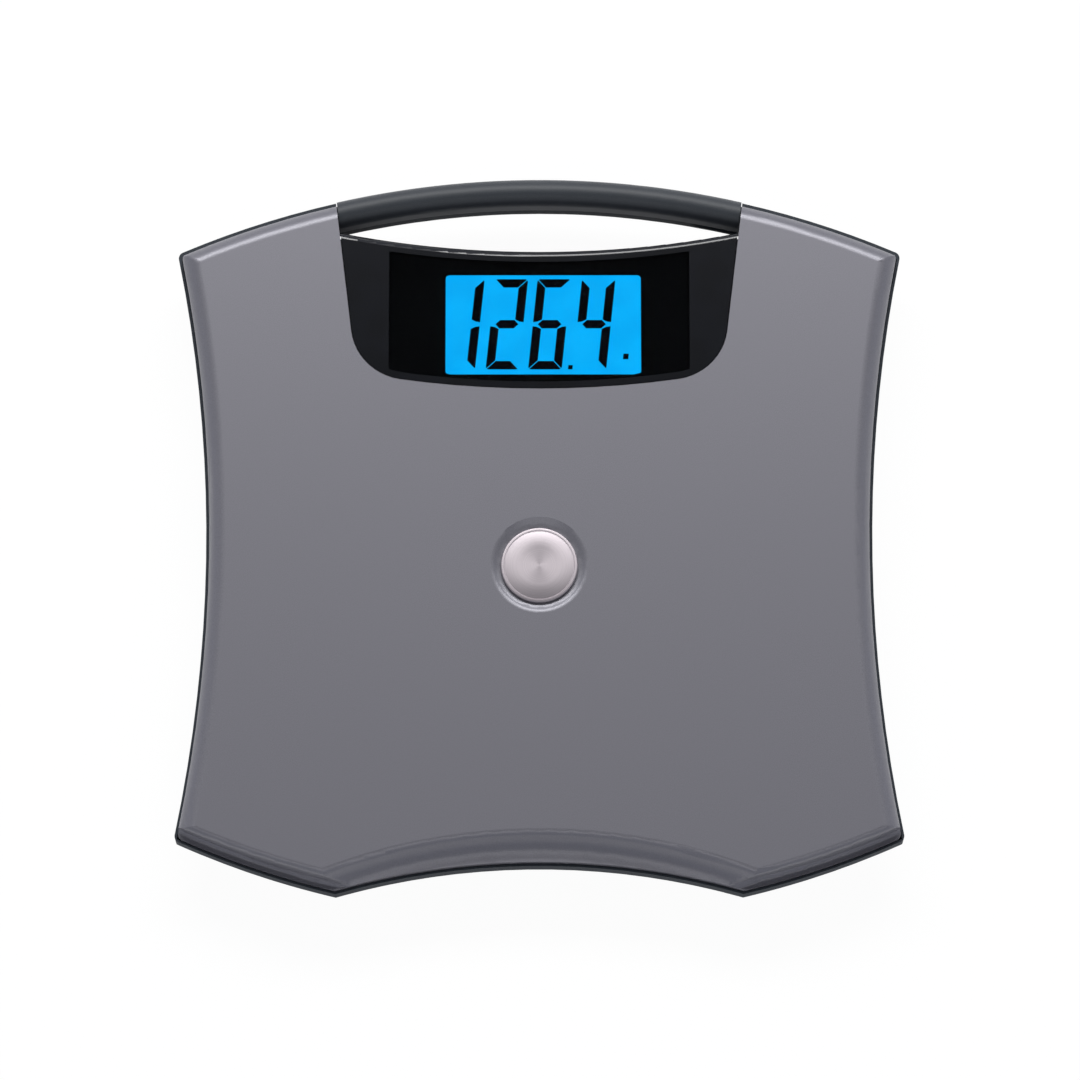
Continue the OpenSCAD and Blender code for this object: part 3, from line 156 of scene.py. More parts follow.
# Backlit LCD glass: an even sky blue from the diffuser behind it, very slightly cloudy
def lit_lcd():
    material, place = begin("backlit_lcd_glass")
    colour, _ = speckle(material, place, 12.0, "#03a8ee", "#05aff4", detail=0.0)
    return close(material, {"Base Color": linear("#02354c"), "Roughness": 0.25, "IOR": 1.52,
                            "Emission Strength": 2.3}, {"Emission Color": colour})


# Driven LCD segments: the dye turns nearly black, with a hint of the blue light left in it
def lcd_dye():
    material, place = begin("driven_lcd_dye")
    colour, _ = speckle(material, place, 1.0, "#06090f", "#0a0f18")
    return close(material, {"Roughness": 0.5, "Specular IOR Level": 0.2}, {"Base Color": colour})


# Spun aluminium: circular turning lines stretch each highlight into two opposite fans
def spun_aluminium():
    material, place = begin("spun_aluminium")
    # the badge's centre lies 18 mm in front of the origin
    centre = put(material, "Mapping", {"Location": (0, 18 * MM, 0)}, {"Vector": place})
    flat = put(material, "VectorMath", {"operation": "MULTIPLY", 1: (1, 1, 0)},
               {0: centre.outputs["Vector"]})
    radius = put(material, "VectorMath", {"operation": "LENGTH"}, {0: flat.outputs["Vector"]})
    # one turning line every 0.45 mm, coarser than the real tool marks so that they show
    rings = put(material, "TexNoise", {"noise_dimensions": "1D", "Scale": 1 / (0.45 * MM), "Detail": 2.0},
                {"W": radius.outputs["Value"]})
    tint = put(material, "Mix", {"data_type": "RGBA", MIX_A: linear("#b4acb0"), MIX_B: linear("#c6bec2")},
               {"Factor": rings.outputs["Fac"]})
    around = put(material, "Tangent", {"direction_type": "RADIAL", "axis": "Z"})
    return close(material, {"Metallic": 0.85, "Roughness": 0.5, "Anisotropic": 0.4},
                 {"Base Color": tint.outputs[MIX_OUT], "Tangent": around.outputs["Tangent"],
                  "Normal": relief(material, rings.outputs["Fac"], 0.02, 0.3)})


# Natural grey ABS, lightly grained, used for the inner mouldings and the feet
def grey_abs():
    material, place = begin("moulded_grey_abs")
    colour, grain = speckle(material, place, 0.8, "#55585c", "#5e6165")
    return close(material, {"Roughness": 0.48, "IOR": 1.54},
                 {"Base Color": colour, "Normal": relief(material, grain, 0.03, 0.3)})


# Vulcanised black rubber: matt and a little chalky, with fine mould stipple
def pad_rubber():
    material, place = begin("vulcanised_black_rubber")
    colour, stipple = speckle(material, place, 0.5, "#151516", "#1f1f20")
    return close(material, {"Roughness": 0.78, "IOR": 1.52},
                 {"Base Color": colour, "Normal": relief(material, stipple, 0.05, 0.5)})


# Blanked spring steel: cold grey, rolling lines along one way
def cell_steel():
    material, place = begin("rolled_spring_steel")
    drawn = put(material, "Mapping", {"Scale": (1, 0.04, 1)}, {"Vector": place})
    colour, lines = speckle(material, drawn.outputs["Vector"], 0.25, "#87888c", "#a0a1a5")
    return close(material, {"Metallic": 1.0, "Roughness": 0.35},
                 {"Base Color": colour, "Normal": relief(material, lines, 0.01, 0.3)})


# Zinc-plated steel: bright with a faint blue-grey cloud
def zinc_plate():
    material, place = begin("zinc_plated_steel")
    colour, cloud = speckle(material, place, 1.2, "#a2a6ab", "#b9bcc0")
    return close(material, {"Metallic": 1.0, "Roughness": 0.3},
                 {"Base Color": colour, "Normal": relief(material, cloud, 0.01, 0.2)})


# Nickel-plated spring steel of the battery contacts: warm, clean and bright
def nickel_plate():
    material, place = begin("nickel_plated_steel")
    colour, cloud = speckle(material, place, 1.5, "#b9b3a6", "#cdc8bb")
    return close(material, {"Metallic": 1.0, "Roughness": 0.22},
                 {"Base Color": colour, "Normal": relief(material, cloud, 0.01, 0.15)})


# Shrunk foil on a battery: black body with a copper band at the positive end
def battery_foil(name, band_low, band_high):
    material, place = begin(name)
    across = put(material, "SeparateXYZ", links={"Vector": place})
    low = put(material, "Math", {"operation": "GREATER_THAN", 1: band_low}, {0: across.outputs["Y"]})
    high = put(material, "Math", {"operation": "LESS_THAN", 1: band_high}, {0: across.outputs["Y"]})
    band = put(material, "Math", {"operation": "MULTIPLY"},
               {0: low.outputs["Value"], 1: high.outputs["Value"]})
    scuff = put(material, "TexNoise", {"Scale": 1 / (3 * MM), "Detail": 3.0}, {"Vector": place})
    colour = put(material, "Mix", {"data_type": "RGBA", MIX_A: linear("#17181a"), MIX_B: linear("#b3763a")},
                 {"Factor": band.outputs["Value"]})
    return close(material, {"Metallic": 0.6, "Roughness": 0.28, "Coat Weight": 0.3},
                 {"Base Color": colour.outputs[MIX_OUT],
                  "Normal": relief(material, scuff.outputs["Fac"], 0.01, 0.2)})


# Green solder mask over etched copper: the tracks show as a paler, raised pattern
def solder_mask():
    material, place = begin("solder_masked_laminate")
    tracks = put(material, "TexBrick", {"Scale": 1 / (4 * MM), "Mortar Size": 0.08, "Color1": (0, 0, 0, 1),
                                        "Color2": (0, 0, 0, 1), "Mortar": (1, 1, 1, 1)}, {"Vector": place})
    mix = put(material, "Mix", {"data_type": "RGBA", MIX_A: linear("#145030"), MIX_B: linear("#2c7a4a")},
              {"Factor": tracks.outputs["Fac"]})
    return close(material, {"Roughness": 0.3, "IOR": 1.5},
                 {"Base Color": mix.outputs[MIX_OUT],
                  "Normal": relief(material, tracks.outputs["Fac"], 0.035, 0.5)})


# Moulded epoxy: charcoal and evenly matt
def chip_epoxy():
    material, place = begin("moulded_epoxy")
    colour, grit = speckle(material, place, 0.3, "#1b1c1e", "#25262a")
    return close(material, {"Roughness": 0.6},
                 {"Base Color": colour, "Normal": relief(material, grit, 0.01, 0.3)})


# Heat-shrunk sleeve on an aluminium can: dark blue plastic with a slight gloss
def capacitor_sleeve():
    material, place = begin("shrunk_blue_sleeve")
    colour, ripple = speckle(material, place, 1.5, "#2c3550", "#36405e")
    return close(material, {"Roughness": 0.35},
                 {"Base Color": colour, "Normal": relief(material, ripple, 0.02, 0.2)})


# Ivory nylon of sockets and LED bodies: waxy and slightly translucent
def ivory_nylon():
    material, place = begin("ivory_nylon")
    colour, wax = speckle(material, place, 1.8, "#ded6bd", "#e8e1cb")
    return close(material, {"Roughness": 0.45, "Subsurface Weight": 0.1, "Subsurface Scale": 0.5 * MM},
                 {"Base Color": colour, "Normal": relief(material, wax, 0.01, 0.2)})


# White PET film of the diffuser and reflector, with a fine tooth
def white_film():
    material, place = begin("white_pet_film")
    colour, tooth = speckle(material, place, 0.3, "#e9e9e8", "#f2f2f1")
    return close(material, {"Roughness": 0.55},
                 {"Base Color": colour, "Normal": relief(material, tooth, 0.01, 0.3)})


# Etched acrylic light guide: clear, frosted by the printed dots that let the light out
def guide_acrylic():
    material, place = begin("etched_acrylic_guide")
    dots = put(material, "TexVoronoi", {"Scale": 1 / (1.0 * MM)}, {"Vector": place})
    return close(material, {"Base Color": linear("#dfeaf2"), "Roughness": 0.25, "IOR": 1.49,
                            "Transmission Weight": 0.8},
                 {"Normal": relief(material, dots.outputs["Distance"], 0.05, 0.4)})


# Layered conductive silicone of the zebra strips: black carbon lines between pink layers
def zebra_silicone():
    material, place = begin("layered_zebra_silicone")
    across = put(material, "SeparateXYZ", links={"Vector": place})
    # a line pair every 0.4 mm, coarser than the real 0.1 mm so that it shows
    line = 0.2 * MM
    wave = put(material, "Math", {"operation": "PINGPONG", 1: line}, {0: across.outputs["X"]})
    mask = put(material, "Math", {"operation": "GREATER_THAN", 1: line / 2}, {0: wave.outputs["Value"]})
    mix = put(material, "Mix", {"data_type": "RGBA", MIX_A: linear("#c98a93"), MIX_B: linear("#202022")},
              {"Factor": mask.outputs["Value"]})
    return close(material, {"Roughness": 0.6}, {"Base Color": mix.outputs[MIX_OUT]})


# White silicone over the strain gauges: glossy blobs with soft waviness
def gauge_silicone():
    material, place = begin("white_gauge_silicone")
    colour, blob = speckle(material, place, 2.5, "#dcdcd8", "#e9e9e6")
    return close(material, {"Roughness": 0.3, "IOR": 1.43},
                 {"Base Color": colour, "Normal": relief(material, blob, 0.2, 0.4)})


# PVC sheath of the inner leads: light grey, smooth, with a slight twist showing through
def lead_sheath():
    material, place = begin("grey_pvc_sheath")
    colour, twist = speckle(material, place, 2.0, "#b0aea8", "#bdbbb5")
    return close(material, {"Roughness": 0.42},
                 {"Base Color": colour, "Normal": relief(material, twist, 0.05, 0.3)})


# Acrylic foam tape under the badge: off-white, open cells
def foam_tape():
    material, place = begin("acrylic_foam_tape")
    colour, cells = speckle(material, place, 0.4, "#d6d4cc", "#e2e0d9")
    return close(material, {"Roughness": 0.8},
                 {"Base Color": colour, "Normal": relief(material, cells, 0.05, 0.5)})


def dress(material, *names):
    """Gives CAD nodes their finish."""
    for name in names:
        mesh = cad[name].data
        mesh.materials.clear()
        mesh.materials.append(material)


CORNERS = ("fl", "fr", "rl", "rr")
SCREW_GROUPS = ("case", "bracket", "handle", "housing", "board", "switch")
# Length of the copper band on a battery, in mm
BAND = 14
silver, slate, grip = silver_lacquer(), slate_abs(), grip_elastomer()
gloss, acrylic, ink = polished_abs(), window_acrylic(), window_ink()
blue, dye, spun = lit_lcd(), lcd_dye(), spun_aluminium()
grey, rubber, steel = grey_abs(), pad_rubber(), cell_steel()
zinc, nickel, laminate = zinc_plate(), nickel_plate(), solder_mask()
epoxy, sleeve, nylon, film = chip_epoxy(), capacitor_sleeve(), ivory_nylon(), white_film()
sheath = lead_sheath()

dress(silver, "platform")
dress(slate, "base_tray", "battery_door")
dress(grip, "handle_grip")
dress(gloss, "display_housing")
dress(acrylic, "display_lens")
dress(blue, "lcd_glass")
dress(spun, "badge")
dress(foam_tape(), "badge_tape")
dress(grey, "lcd_frame", "unit_button")
dress(grey, *["foot_" + c for c in CORNERS], *["cell_bracket_" + c for c in CORNERS])
dress(film, "diffuser_sheet", "reflector_sheet")
dress(guide_acrylic(), "light_guide")
dress(nylon, "led_strip", "lead_sockets")
dress(zebra_silicone(), "zebra_strips")
dress(laminate, "main_board", "switch_board")
dress(epoxy, "board_chips", "tact_plunger")
dress(sleeve, "board_capacitors")
dress(rubber, *["pad_" + c for c in CORNERS])
dress(steel, "tact_switch", *["load_cell_" + c for c in CORNERS])
dress(gauge_silicone(), "gauge_coats")
dress(nickel, "battery_springs", "battery_plates")
dress(zinc, *[group + "_screws" for group in SCREW_GROUPS])
dress(sheath, "battery_lead", "switch_lead", *["cell_lead_" + c for c in CORNERS])
for number in (1, 2, 3, 4):
    low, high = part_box("battery_%d" % number)
    faces_front = number % 2 == 0
    start = low.y - MM if faces_front else high.y - BAND * MM
    foil = battery_foil("battery_foil_%d" % number, start, start + (BAND + 1) * MM)
    dress(foil, "battery_%d" % number)


def piece_from(shape, name, material, body, sharp_deg=35):
    """Makes a finished piece from a bmesh and lets it ride on a body."""
    mesh = bpy.data.meshes.new(name)
    shape.to_mesh(mesh)
    shape.free()
    mesh.materials.append(material)
    mesh.polygons.foreach_set("use_smooth", [True] * len(mesh.polygons))
    mesh.set_sharp_from_angle(angle=math.radians(sharp_deg))
    piece = bpy.data.objects.new(name, mesh)
    bpy.context.scene.collection.objects.link(piece)
    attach(piece, body)
    return piece


# The face attribute and the value by which Weighted Normal lets level faces keep their own normal
FACE_STRENGTH = "__mod_weightednormals_faceweight"
STRONG = 16384
# The upward share of a level face's normal
LEVEL = 0.99999
# How near points of a CAD mesh lie that are one point, and how short an edge is that is none
SAME_POINT = 0.003 * MM
NO_EDGE = 0.002 * MM


def refined(node, body, sharp_deg=35, finish=None):
    """A merged copy of a CAD node whose rounds shade smoothly. It replaces the node."""
    shape = bmesh.new()
    shape.from_mesh(cad[node].data)
    bmesh.ops.remove_doubles(shape, verts=shape.verts, dist=SAME_POINT)
    bmesh.ops.dissolve_degenerate(shape, edges=shape.edges, dist=NO_EDGE)
    if finish:
        finish(shape)
    bmesh.ops.recalc_face_normals(shape, faces=shape.faces)
    strength = shape.faces.layers.int.new(FACE_STRENGTH)
    for face in shape.faces:
        if abs(face.normal.z) > LEVEL:
            face[strength] = STRONG
    piece = piece_from(shape, node + "_finished", cad[node].data.materials[0], body, sharp_deg)
    weighted = piece.modifiers.new("weighted", "WEIGHTED_NORMAL")
    weighted.keep_sharp = True
    weighted.use_face_influence = True
    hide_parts(node)
    return piece


# The front scoop in plan, in mm: its crease's radius and the centre's place
SCOOP_R = 258.0
SCOOP_CENTRE_Y = -398.0
# The lip's stretch in front of the crease, and a height that all of the lip lies above, in mm
LIP_FROM = 2.4
LIP_TO = 9.8
LIP_FLOOR_Z = 31.0
# How far the lip's edge turns up, in mm, and the power by which it curves
LIP_RISE = 1.5
LIP_CURVE = 1.5


def turn_up_lip(shape):
    """The scoop's lip turns up a little towards the front edge, so that it catches the light from behind."""
    for vert in shape.verts:
        in_front = SCOOP_R - math.hypot(vert.co.x, vert.co.y - SCOOP_CENTRE_Y * MM) / MM
        if vert.co.z > LIP_FLOOR_Z * MM and in_front > LIP_FROM:
            vert.co.z += LIP_RISE * MM * ((in_front - LIP_FROM) / (LIP_TO - LIP_FROM)) ** LIP_CURVE


refined("platform", "scale_body", 20, turn_up_lip)
refined("base_tray", "scale_body")
refined("handle_grip", "scale_body")


def turned(name, outline, centre, material, body, steps=96):
    """A round piece turned from its half section, given in mm as distances from the axis and heights."""
    shape = bmesh.new()
    verts = [shape.verts.new((centre.x + r * MM, centre.y, z * MM)) for r, z in outline]
    edges = [shape.edges.new(pair) for pair in zip(verts, verts[1:])]
    bmesh.ops.spin(shape, geom=verts + edges, cent=(centre.x, centre.y, 0), axis=(0, 0, 1), angle=math.tau,
                   steps=steps, use_merge=True)
    bmesh.ops.remove_doubles(shape, verts=shape.verts, dist=NO_EDGE)
    bmesh.ops.recalc_face_normals(shape, faces=shape.faces)
    return piece_from(shape, name, material, body, 30)


# The badge: a bare disc with a slightly dished face, a fine turned groove and a raised rim
def turned_badge():
    low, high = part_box("badge")
    bottom, top, r = low.z / MM, high.z / MM, (high.x - low.x) / 2 / MM
    edge = [(r, top - 0.6), (r - 0.08, top - 0.3), (r - 0.3, top - 0.08), (r - 0.6, top)]
    groove = [(r - 1.3, top), (r - 1.5, top - 0.18), (r - 1.8, top - 0.18), (r - 2.1, top - 0.08)]
    outline = [(0, bottom), (r, bottom), *edge, *groove, (r / 2, top - 0.12), (0, top - 0.14)]
    badge = turned("badge_turned", outline, (low + high) / 2, spun, "scale_body", 128)
    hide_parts("badge")


turned_badge()


# Rubber pads: three round treads that grip the floor, with moulded grooves of this depth between them, in mm
TREADS = (2.4, 5.2, 8.0)
GROOVE = 0.55


def ringed_pad(corner):
    low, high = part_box("pad_" + corner)
    r, top = (high.x - low.x) / 2 / MM, high.z / MM
    outline = [(0, top), (r, top), (r, 1.0), (r - 0.3, 0.3), (r - 1.0, 0)]
    for inner in [r - tread for tread in TREADS]:
        outline += [(inner, 0), (inner - 0.3, GROOVE), (inner - 1.1, GROOVE), (inner - 1.4, 0)]
    outline.append((0, 0))
    body = "foot_%s_body" % corner
    pad = turned("pad_%s_ringed" % corner, outline, (low + high) / 2, rubber, body, 72)
    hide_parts("pad_" + corner)


for corner in CORNERS:
    ringed_pad(corner)


def solids_of(node):
    """The points of each separate solid of a CAD node."""
    shape = bmesh.new()
    shape.from_mesh(cad[node].data)
    bmesh.ops.remove_doubles(shape, verts=shape.verts, dist=SAME_POINT)
    solids = []
    for first in shape.verts:
        if first.tag:
            continue
        first.tag = True
        reached = [first]
        for vert in reached:
            for edge in vert.link_edges:
                other = edge.other_vert(vert)
                if not other.tag:
                    other.tag = True
                    reached.append(other)
        solids.append([vert.co.copy() for vert in reached])
    shape.free()
    return solids


# A screw's flat face, and its cross recess's half width, arm and depth, all as shares of its head
FLAT_SHARE = 0.88
SLOT_SHARE = 0.13
ARM_SHARE = 0.58
RECESS_SHARE = 0.6
# The shank's rings stand for the thread, which is finer: their spacing in mm and how thin they get
RING_STEP = 1.0
RING_CORE = 0.78


def cross_screw(shape, centre, face_z, way, head_r, head_h, shank_r, length):
    """A pan-head screw with a cross recess and a ringed shank: its face at face_z, its tip along way."""
    part = bmesh.new()
    radius, height = head_r * FLAT_SHARE, 0.0
    bmesh.ops.create_circle(part, cap_ends=True, radius=radius, segments=24)
    slot_half, arm = head_r * SLOT_SHARE, head_r * ARM_SHARE
    for axis in ((1, 0, 0), (0, 1, 0)):
        for offset in (-arm, -slot_half, slot_half, arm):
            bmesh.ops.bisect_plane(part, geom=part.verts[:] + part.edges[:] + part.faces[:],
                                   plane_co=Vector(axis) * offset, plane_no=axis)
    cross = []
    for face in part.faces:
        near, far = sorted(abs(c) for c in face.calc_center_median().xy)
        if near < slot_half and far < arm:
            cross.append(face)
    grown = bmesh.ops.extrude_face_region(part, geom=cross)["geom"]
    sunk = [g for g in grown if isinstance(g, bmesh.types.BMVert)]
    bmesh.ops.translate(part, verts=sunk, vec=(0, 0, head_h * RECESS_SHARE))
    bmesh.ops.scale(part, verts=sunk, vec=(RECESS_SHARE, RECESS_SHARE, 1))
    rings = [(head_r, head_h * 0.3), (head_r, head_h), (shank_r, head_h)]
    step = RING_STEP * MM
    for turn in range(int((length - head_h) / step) - 2):
        start = head_h + (0.6 + turn) * step
        core_r, middle, end = shank_r * RING_CORE, start + 0.45 * step, start + 0.9 * step
        rings += [(shank_r, start), (core_r, middle), (shank_r, end)]
    rings += [(shank_r * 0.8, length - 0.5 * MM), (shank_r * 0.2, length)]
    rim = [edge for edge in part.edges if edge.is_boundary]
    for r, z in rings:
        grown = bmesh.ops.extrude_edge_only(part, edges=rim)["geom"]
        verts = [g for g in grown if isinstance(g, bmesh.types.BMVert)]
        rim = [g for g in grown if isinstance(g, bmesh.types.BMEdge) and g.is_boundary]
        bmesh.ops.translate(part, verts=verts, vec=(0, 0, z - height))
        bmesh.ops.scale(part, verts=verts, vec=(r / radius, r / radius, 1))
        radius, height = r, z
    bmesh.ops.edgeloop_fill(part, edges=rim)
    bmesh.ops.scale(part, verts=part.verts, vec=(1, 1, way))
    bmesh.ops.translate(part, verts=part.verts, vec=(centre.x, centre.y, face_z))
    bmesh.ops.recalc_face_normals(part, faces=part.faces)
    mesh = bpy.data.meshes.new("screw")
    part.to_mesh(mesh)
    part.free()
    shape.from_mesh(mesh)
    bpy.data.meshes.remove(mesh)


def cross_screws(node):
    """Detailed screws in the places of a node's plain ones."""
    shape = bmesh.new()
    for points in solids_of(node):
        low = Vector([min(p[i] for p in points) for i in range(3)])
        high = Vector([max(p[i] for p in points) for i in range(3)])
        centre = (low + high) / 2
        reach = [(((p.x - centre.x) ** 2 + (p.y - centre.y) ** 2) ** 0.5, p.z) for p in points]
        head_r = max(r for r, z in reach)
        head = [z for r, z in reach if r > 0.9 * head_r]
        head_below = min(head) - low.z < 0.1 * MM
        tip_z = high.z if head_below else low.z
        shank_r = max(r for r, z in reach if abs(z - tip_z) < 0.1 * MM)
        cross_screw(shape, centre, low.z if head_below else high.z, 1 if head_below else -1, head_r,
                    max(head) - min(head), shank_r, high.z - low.z)
    screws = piece_from(shape, node.replace("screws", "cross_screws"), zinc, "scale_body", 30)
    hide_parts(node)


for group in SCREW_GROUPS:
    cross_screws(group + "_screws")


# Grip ridges moulded on the battery door beside its finger notch: their number, size and rounding, in mm
RIDGES = 5
RIDGE_SIZE = (16.0, 1.0, 0.7)
RIDGE_R = 0.3
# The first ridge's distance from the door's front edge, and the ridges' spacing
RIDGE_START = 7.5
RIDGE_STEP = 2.2


def door_ridges():
    low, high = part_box("battery_door")
    shape = bmesh.new()
    for count in range(RIDGES):
        made = bmesh.ops.create_cube(shape, size=1)["verts"]
        bmesh.ops.scale(shape, verts=made, vec=[side * MM for side in RIDGE_SIZE])
        along = low.y + (RIDGE_START + RIDGE_STEP * count) * MM
        bmesh.ops.translate(shape, verts=made, vec=(0, along, low.z - 0.1 * MM))
    bmesh.ops.bevel(shape, geom=shape.edges[:], affect="EDGES", offset=RIDGE_R * MM, segments=3, profile=0.5,
                    material=-1)
    bmesh.ops.recalc_face_normals(shape, faces=shape.faces)
    return piece_from(shape, "door_ridges", slate, "door_body")


door_ridges()


# The figures on the display: seven-segment shapes that lean by 5.8 degrees, in mm
LCD_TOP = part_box("lcd_glass")[1].z
FIGURE_MID_Y = 93.7
FIGURE_LEAN = math.tan(math.radians(5.8))
FIGURE_HALF = 21.0
STROKE = 3.9
GAP = 0.25
SHOULDER = 0.7
SEGMENT_SETS = {"1": "bc", "2": "abged", "6": "afgedc", "4": "fgbc"}
# Each figure, with the middles of its left and right strokes
FIGURES = (("1", -39.2, -28.4), ("2", -19.8, -9.0), ("6", -0.9, 10.2), ("4", 18.9, 30.0))
# The corners of the decimal point and of the plain block beside the figures: left, near, right and far
DECIMAL_POINT = (14.9, -21.0, 16.9, -19.0)
UNIT_BLOCK = (38.9, -16.3, 41.3, -13.7)
# The dye's height above the glass, and its thickness
DYE_LIFT = 0.01 * MM
DYE_T = 0.03 * MM


def thicken(shape, faces, thickness):
    """Gives faces that lie level a thickness, upwards."""
    grown = bmesh.ops.extrude_face_region(shape, geom=faces)["geom"]
    verts = [g for g in grown if isinstance(g, bmesh.types.BMVert)]
    bmesh.ops.translate(shape, verts=verts, vec=(0, 0, thickness))


def slab(shape, corners):
    """A thin leaning slab on the LCD over a plan given in mm from the figures' middle line."""
    verts = []
    for x, y in corners:
        across, back = (x + y * FIGURE_LEAN) * MM, (y + FIGURE_MID_Y) * MM
        verts.append(shape.verts.new((across, back, LCD_TOP + DYE_LIFT)))
    thicken(shape, [shape.faces.new(verts)], DYE_T)


def lcd_figures():
    shape = bmesh.new()
    top, half, cut = FIGURE_HALF, STROKE / 2, SHOULDER / 2
    for figure, left, right in FIGURES:
        out_l, in_l, in_r, out_r = left - half, left + half, right - half, right + half
        bar = [
            (out_l + SHOULDER + GAP, top), (out_r - SHOULDER - GAP, top), (out_r - cut - GAP, top - cut),
            (in_r - GAP, top - STROKE), (in_l + GAP, top - STROKE), (out_l + cut + GAP, top - cut),
        ]
        post = [
            (out_r, SHOULDER + GAP), (out_r, top - SHOULDER - GAP), (out_r - cut, top - cut - GAP),
            (in_r, top - STROKE - GAP), (in_r, half + GAP), (right, half / 2 + GAP),
        ]
        middle = [
            (left + GAP, 0), (in_l + GAP, half), (in_r - GAP, half),
            (right - GAP, 0), (in_r - GAP, -half), (in_l + GAP, -half),
        ]
        both = left + right
        plans = {
            "a": bar, "b": post, "g": middle,
            "c": [(x, -y) for x, y in post], "d": [(x, -y) for x, y in bar],
            "e": [(both - x, -y) for x, y in post], "f": [(both - x, y) for x, y in post],
        }
        for letter in SEGMENT_SETS[figure]:
            slab(shape, plans[letter])
    for left, near, right, far in (DECIMAL_POINT, UNIT_BLOCK):
        slab(shape, [(left, near), (right, near), (right, far), (left, far)])
    bmesh.ops.recalc_face_normals(shape, faces=shape.faces)
    return piece_from(shape, "lcd_figures", dye, "scale_body")


lcd_figures()


# The black print behind the window follows the window's two arcs: each one's centre and radius, in mm
LENS_FRONT = (502.9, 436.5)
LENS_BACK = (579.9, 458.0)
# The print's distances from the window's edge and from its underside, and its thickness
PRINT_INSET = 0.2
PRINT_UNDER = 0.04
PRINT_T = 0.02
# The size, middle and corner radius of the print's opening over the LCD
OPENING_SIZE = (87.0, 46.1)
OPENING_MID = (1.8, 92.95)
OPENING_R = 1.6


def print_edge(x, arc):
    """How far back an arc's edge lies at a place across the window, in metres."""
    return (arc[0] - math.sqrt(arc[1] ** 2 - (x / MM) ** 2)) * MM


def window_print():
    low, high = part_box("display_lens")
    level = low.z - PRINT_UNDER * MM
    half = high.x - PRINT_INSET * MM
    width, depth = OPENING_SIZE
    mid_x, mid_y = OPENING_MID
    shape = bmesh.new()
    outer = bmesh.ops.create_grid(shape, x_segments=30, y_segments=1, size=1)["verts"]
    for vert in outer:
        x = vert.co.x * half
        arc, inset = (LENS_BACK, -PRINT_INSET * MM) if vert.co.y > 0 else (LENS_FRONT, PRINT_INSET * MM)
        vert.co = (x, print_edge(x, arc) + inset, level)
    inner = bmesh.ops.create_grid(shape, x_segments=1, y_segments=1, size=0.5)["verts"]
    bmesh.ops.scale(shape, verts=inner, vec=(width * MM, depth * MM, 1))
    bmesh.ops.translate(shape, verts=inner, vec=(mid_x * MM, mid_y * MM, level))
    bmesh.ops.bevel(shape, geom=inner, affect="VERTICES", offset=OPENING_R * MM, segments=6, profile=0.5,
                    material=-1)
    rims = [e for e in shape.edges if e.is_boundary]
    bmesh.ops.delete(shape, geom=list(shape.faces), context="FACES_ONLY")
    bmesh.ops.delete(shape, geom=[e for e in shape.edges if e not in rims], context="EDGES")
    bmesh.ops.bridge_loops(shape, edges=rims)
    bmesh.ops.recalc_face_normals(shape, faces=shape.faces)
    thicken(shape, list(shape.faces), PRINT_T * MM)
    bmesh.ops.recalc_face_normals(shape, faces=shape.faces)
    return piece_from(shape, "window_print", ink, "scale_body")


window_print()


# Studio: the camera of the photograph, a white floor, one large lamp behind the handle and a weak front fill
SENSOR = 36
# The photograph's width and focal length, in its own pixels
PHOTO_PX = 1080
FOCAL_PX = 6314.2
# Where the camera stands and the spot that it looks at, in mm
CAMERA_AT = (0, -724.1, 2734.6)
CAMERA_SPOT = (0.31, -3.5, 30)
# What share of the floor glows to the camera and to reflections, and how strongly
SEEN_SHARE = 0.93
MIRRORED_SHARE = 0.35
FLOOR_GLOW = 1.03
# The dome fades from the horizon to this height, on a scale that ends at 1 overhead: its two strengths
HORIZON = 0.5
DOME_TOP = 0.88
DOME_LOW = 0.5
DOME_HIGH = 0.015


def aim(thing, spot):
    """Turns a lamp or the camera towards a spot."""
    thing.rotation_euler = (Vector(spot) - thing.location).to_track_quat("-Z", "Y").to_euler()


camera = bpy.data.objects.new("camera", bpy.data.cameras.new("camera"))
camera.data.sensor_width = SENSOR
camera.data.lens = SENSOR * FOCAL_PX / PHOTO_PX
camera.data.clip_end = 20
camera.location = [c * MM for c in CAMERA_AT]
aim(camera, [c * MM for c in CAMERA_SPOT])
bpy.context.scene.collection.objects.link(camera)
bpy.context.scene.camera = camera


def lamp(name, power, width, depth, place):
    """An area lamp that faces the scale: its power in watts, and its size and place in metres."""
    light = bpy.data.lights.new(name, "AREA")
    light.energy, light.shape, light.size, light.size_y = power, "RECTANGLE", width, depth
    made = bpy.data.objects.new(name, light)
    made.location = place
    made.visible_camera = False
    aim(made, (0, 0, 0))
    bpy.context.scene.collection.objects.link(made)


lamp("back_softbox", 58.5, 2.6, 0.75, (0, 1.7, 2.05))
lamp("front_fill", 3.2, 1.6, 0.4, (0, -0.95, 1.5))


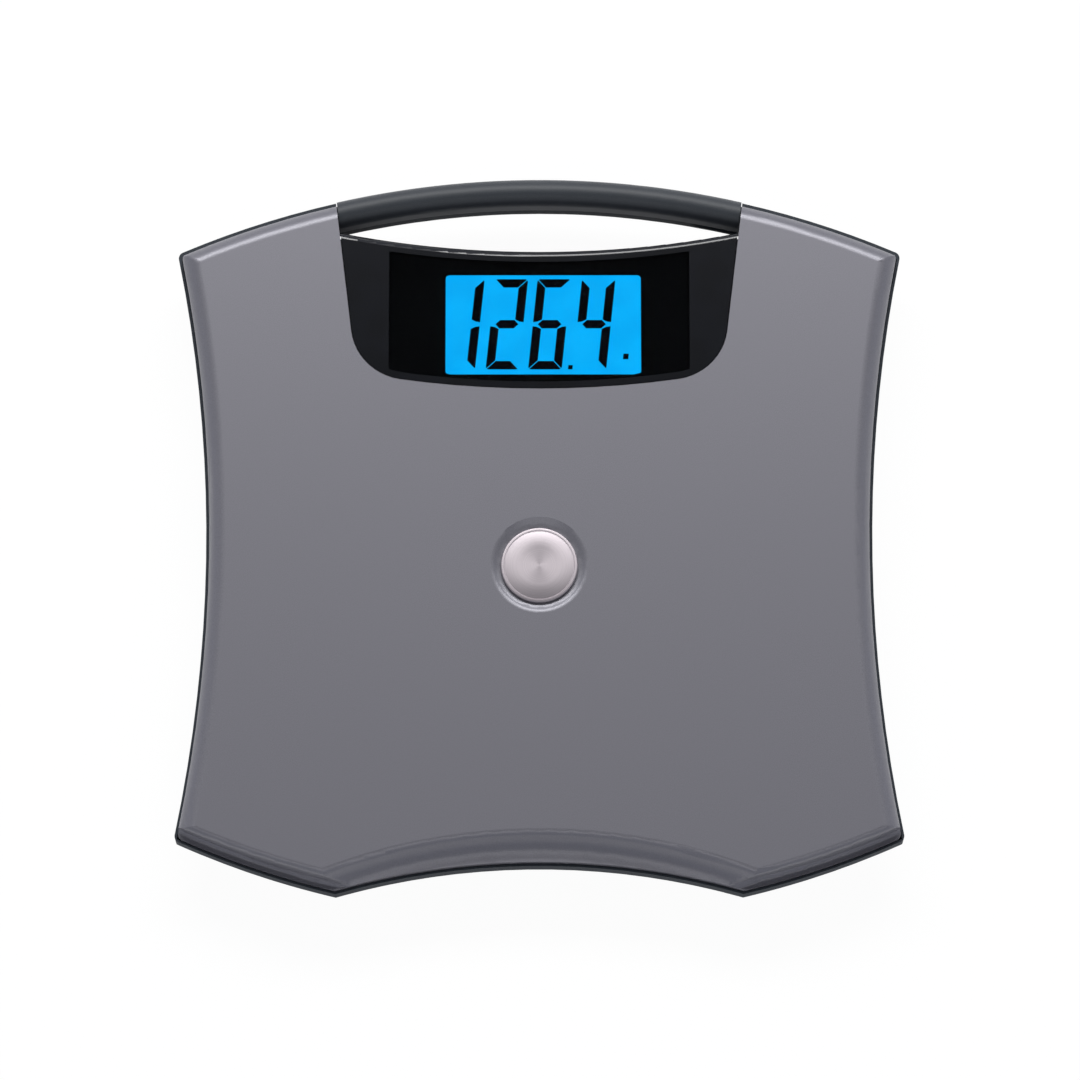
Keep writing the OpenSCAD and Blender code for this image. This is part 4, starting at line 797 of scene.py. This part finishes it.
def studio_world():
    """A soft dome that is dark overhead, so that gloss black stays black, behind a white backdrop."""
    world = bpy.data.worlds.new("studio")
    bpy.context.scene.world = world
    world.use_nodes = True
    world.node_tree.nodes.clear()
    way = put(world, "SeparateXYZ", links={"Vector": put(world, "TexCoord").outputs["Generated"]})
    dome = put(world, "MapRange", {"From Min": HORIZON, "From Max": DOME_TOP, "To Min": DOME_LOW,
                                   "To Max": DOME_HIGH}, {"Value": way.outputs["Z"]})
    room = put(world, "Background", {"Color": linear("#eef2ff")}, {"Strength": dome.outputs["Result"]})
    seen = put(world, "Background", {"Color": linear("#ffffff"), "Strength": 1.0})
    rays = put(world, "LightPath")
    blend = put(world, "MixShader", links={"Fac": rays.outputs["Is Camera Ray"],
                                           1: room.outputs["Background"], 2: seen.outputs["Background"]})
    put(world, "OutputWorld", links={"Surface": blend.outputs["Shader"]})


studio_world()


def studio_floor():
    """White paper that glows to the camera, so that it shows white, and keeps a faint shadow."""
    shape = bmesh.new()
    bmesh.ops.create_grid(shape, x_segments=1, y_segments=1, size=6)
    mesh = bpy.data.meshes.new("studio_floor")
    shape.to_mesh(mesh)
    shape.free()
    floor = bpy.data.objects.new("studio_floor", mesh)
    bpy.context.scene.collection.objects.link(floor)
    material, _ = begin("white_paper")
    path = put(material, "LightPath")
    paper = put(material, "BsdfPrincipled", {"Base Color": linear("#e8e8e8"), "Roughness": 0.9})
    glow = put(material, "Emission", {"Color": linear("#ffffff"), "Strength": FLOOR_GLOW})
    seen = put(material, "Math", {"operation": "MAXIMUM"},
               {0: path.outputs["Is Camera Ray"], 1: path.outputs["Is Transmission Ray"]})
    seen = put(material, "Math", {"operation": "MULTIPLY", 1: SEEN_SHARE}, {0: seen.outputs["Value"]})
    mirrored = put(material, "Math", {"operation": "MULTIPLY", 1: MIRRORED_SHARE},
                   {0: path.outputs["Is Glossy Ray"]})
    share = put(material, "Math", {"operation": "MAXIMUM"},
                {0: seen.outputs["Value"], 1: mirrored.outputs["Value"]})
    mix = put(material, "MixShader", links={"Fac": share.outputs["Value"], 1: paper.outputs["BSDF"],
                                            2: glow.outputs["Emission"]})
    put(material, "OutputMaterial", links={"Surface": mix.outputs["Shader"]})
    mesh.materials.append(material)


studio_floor()
bpy.context.scene.view_settings.view_transform = "Standard"
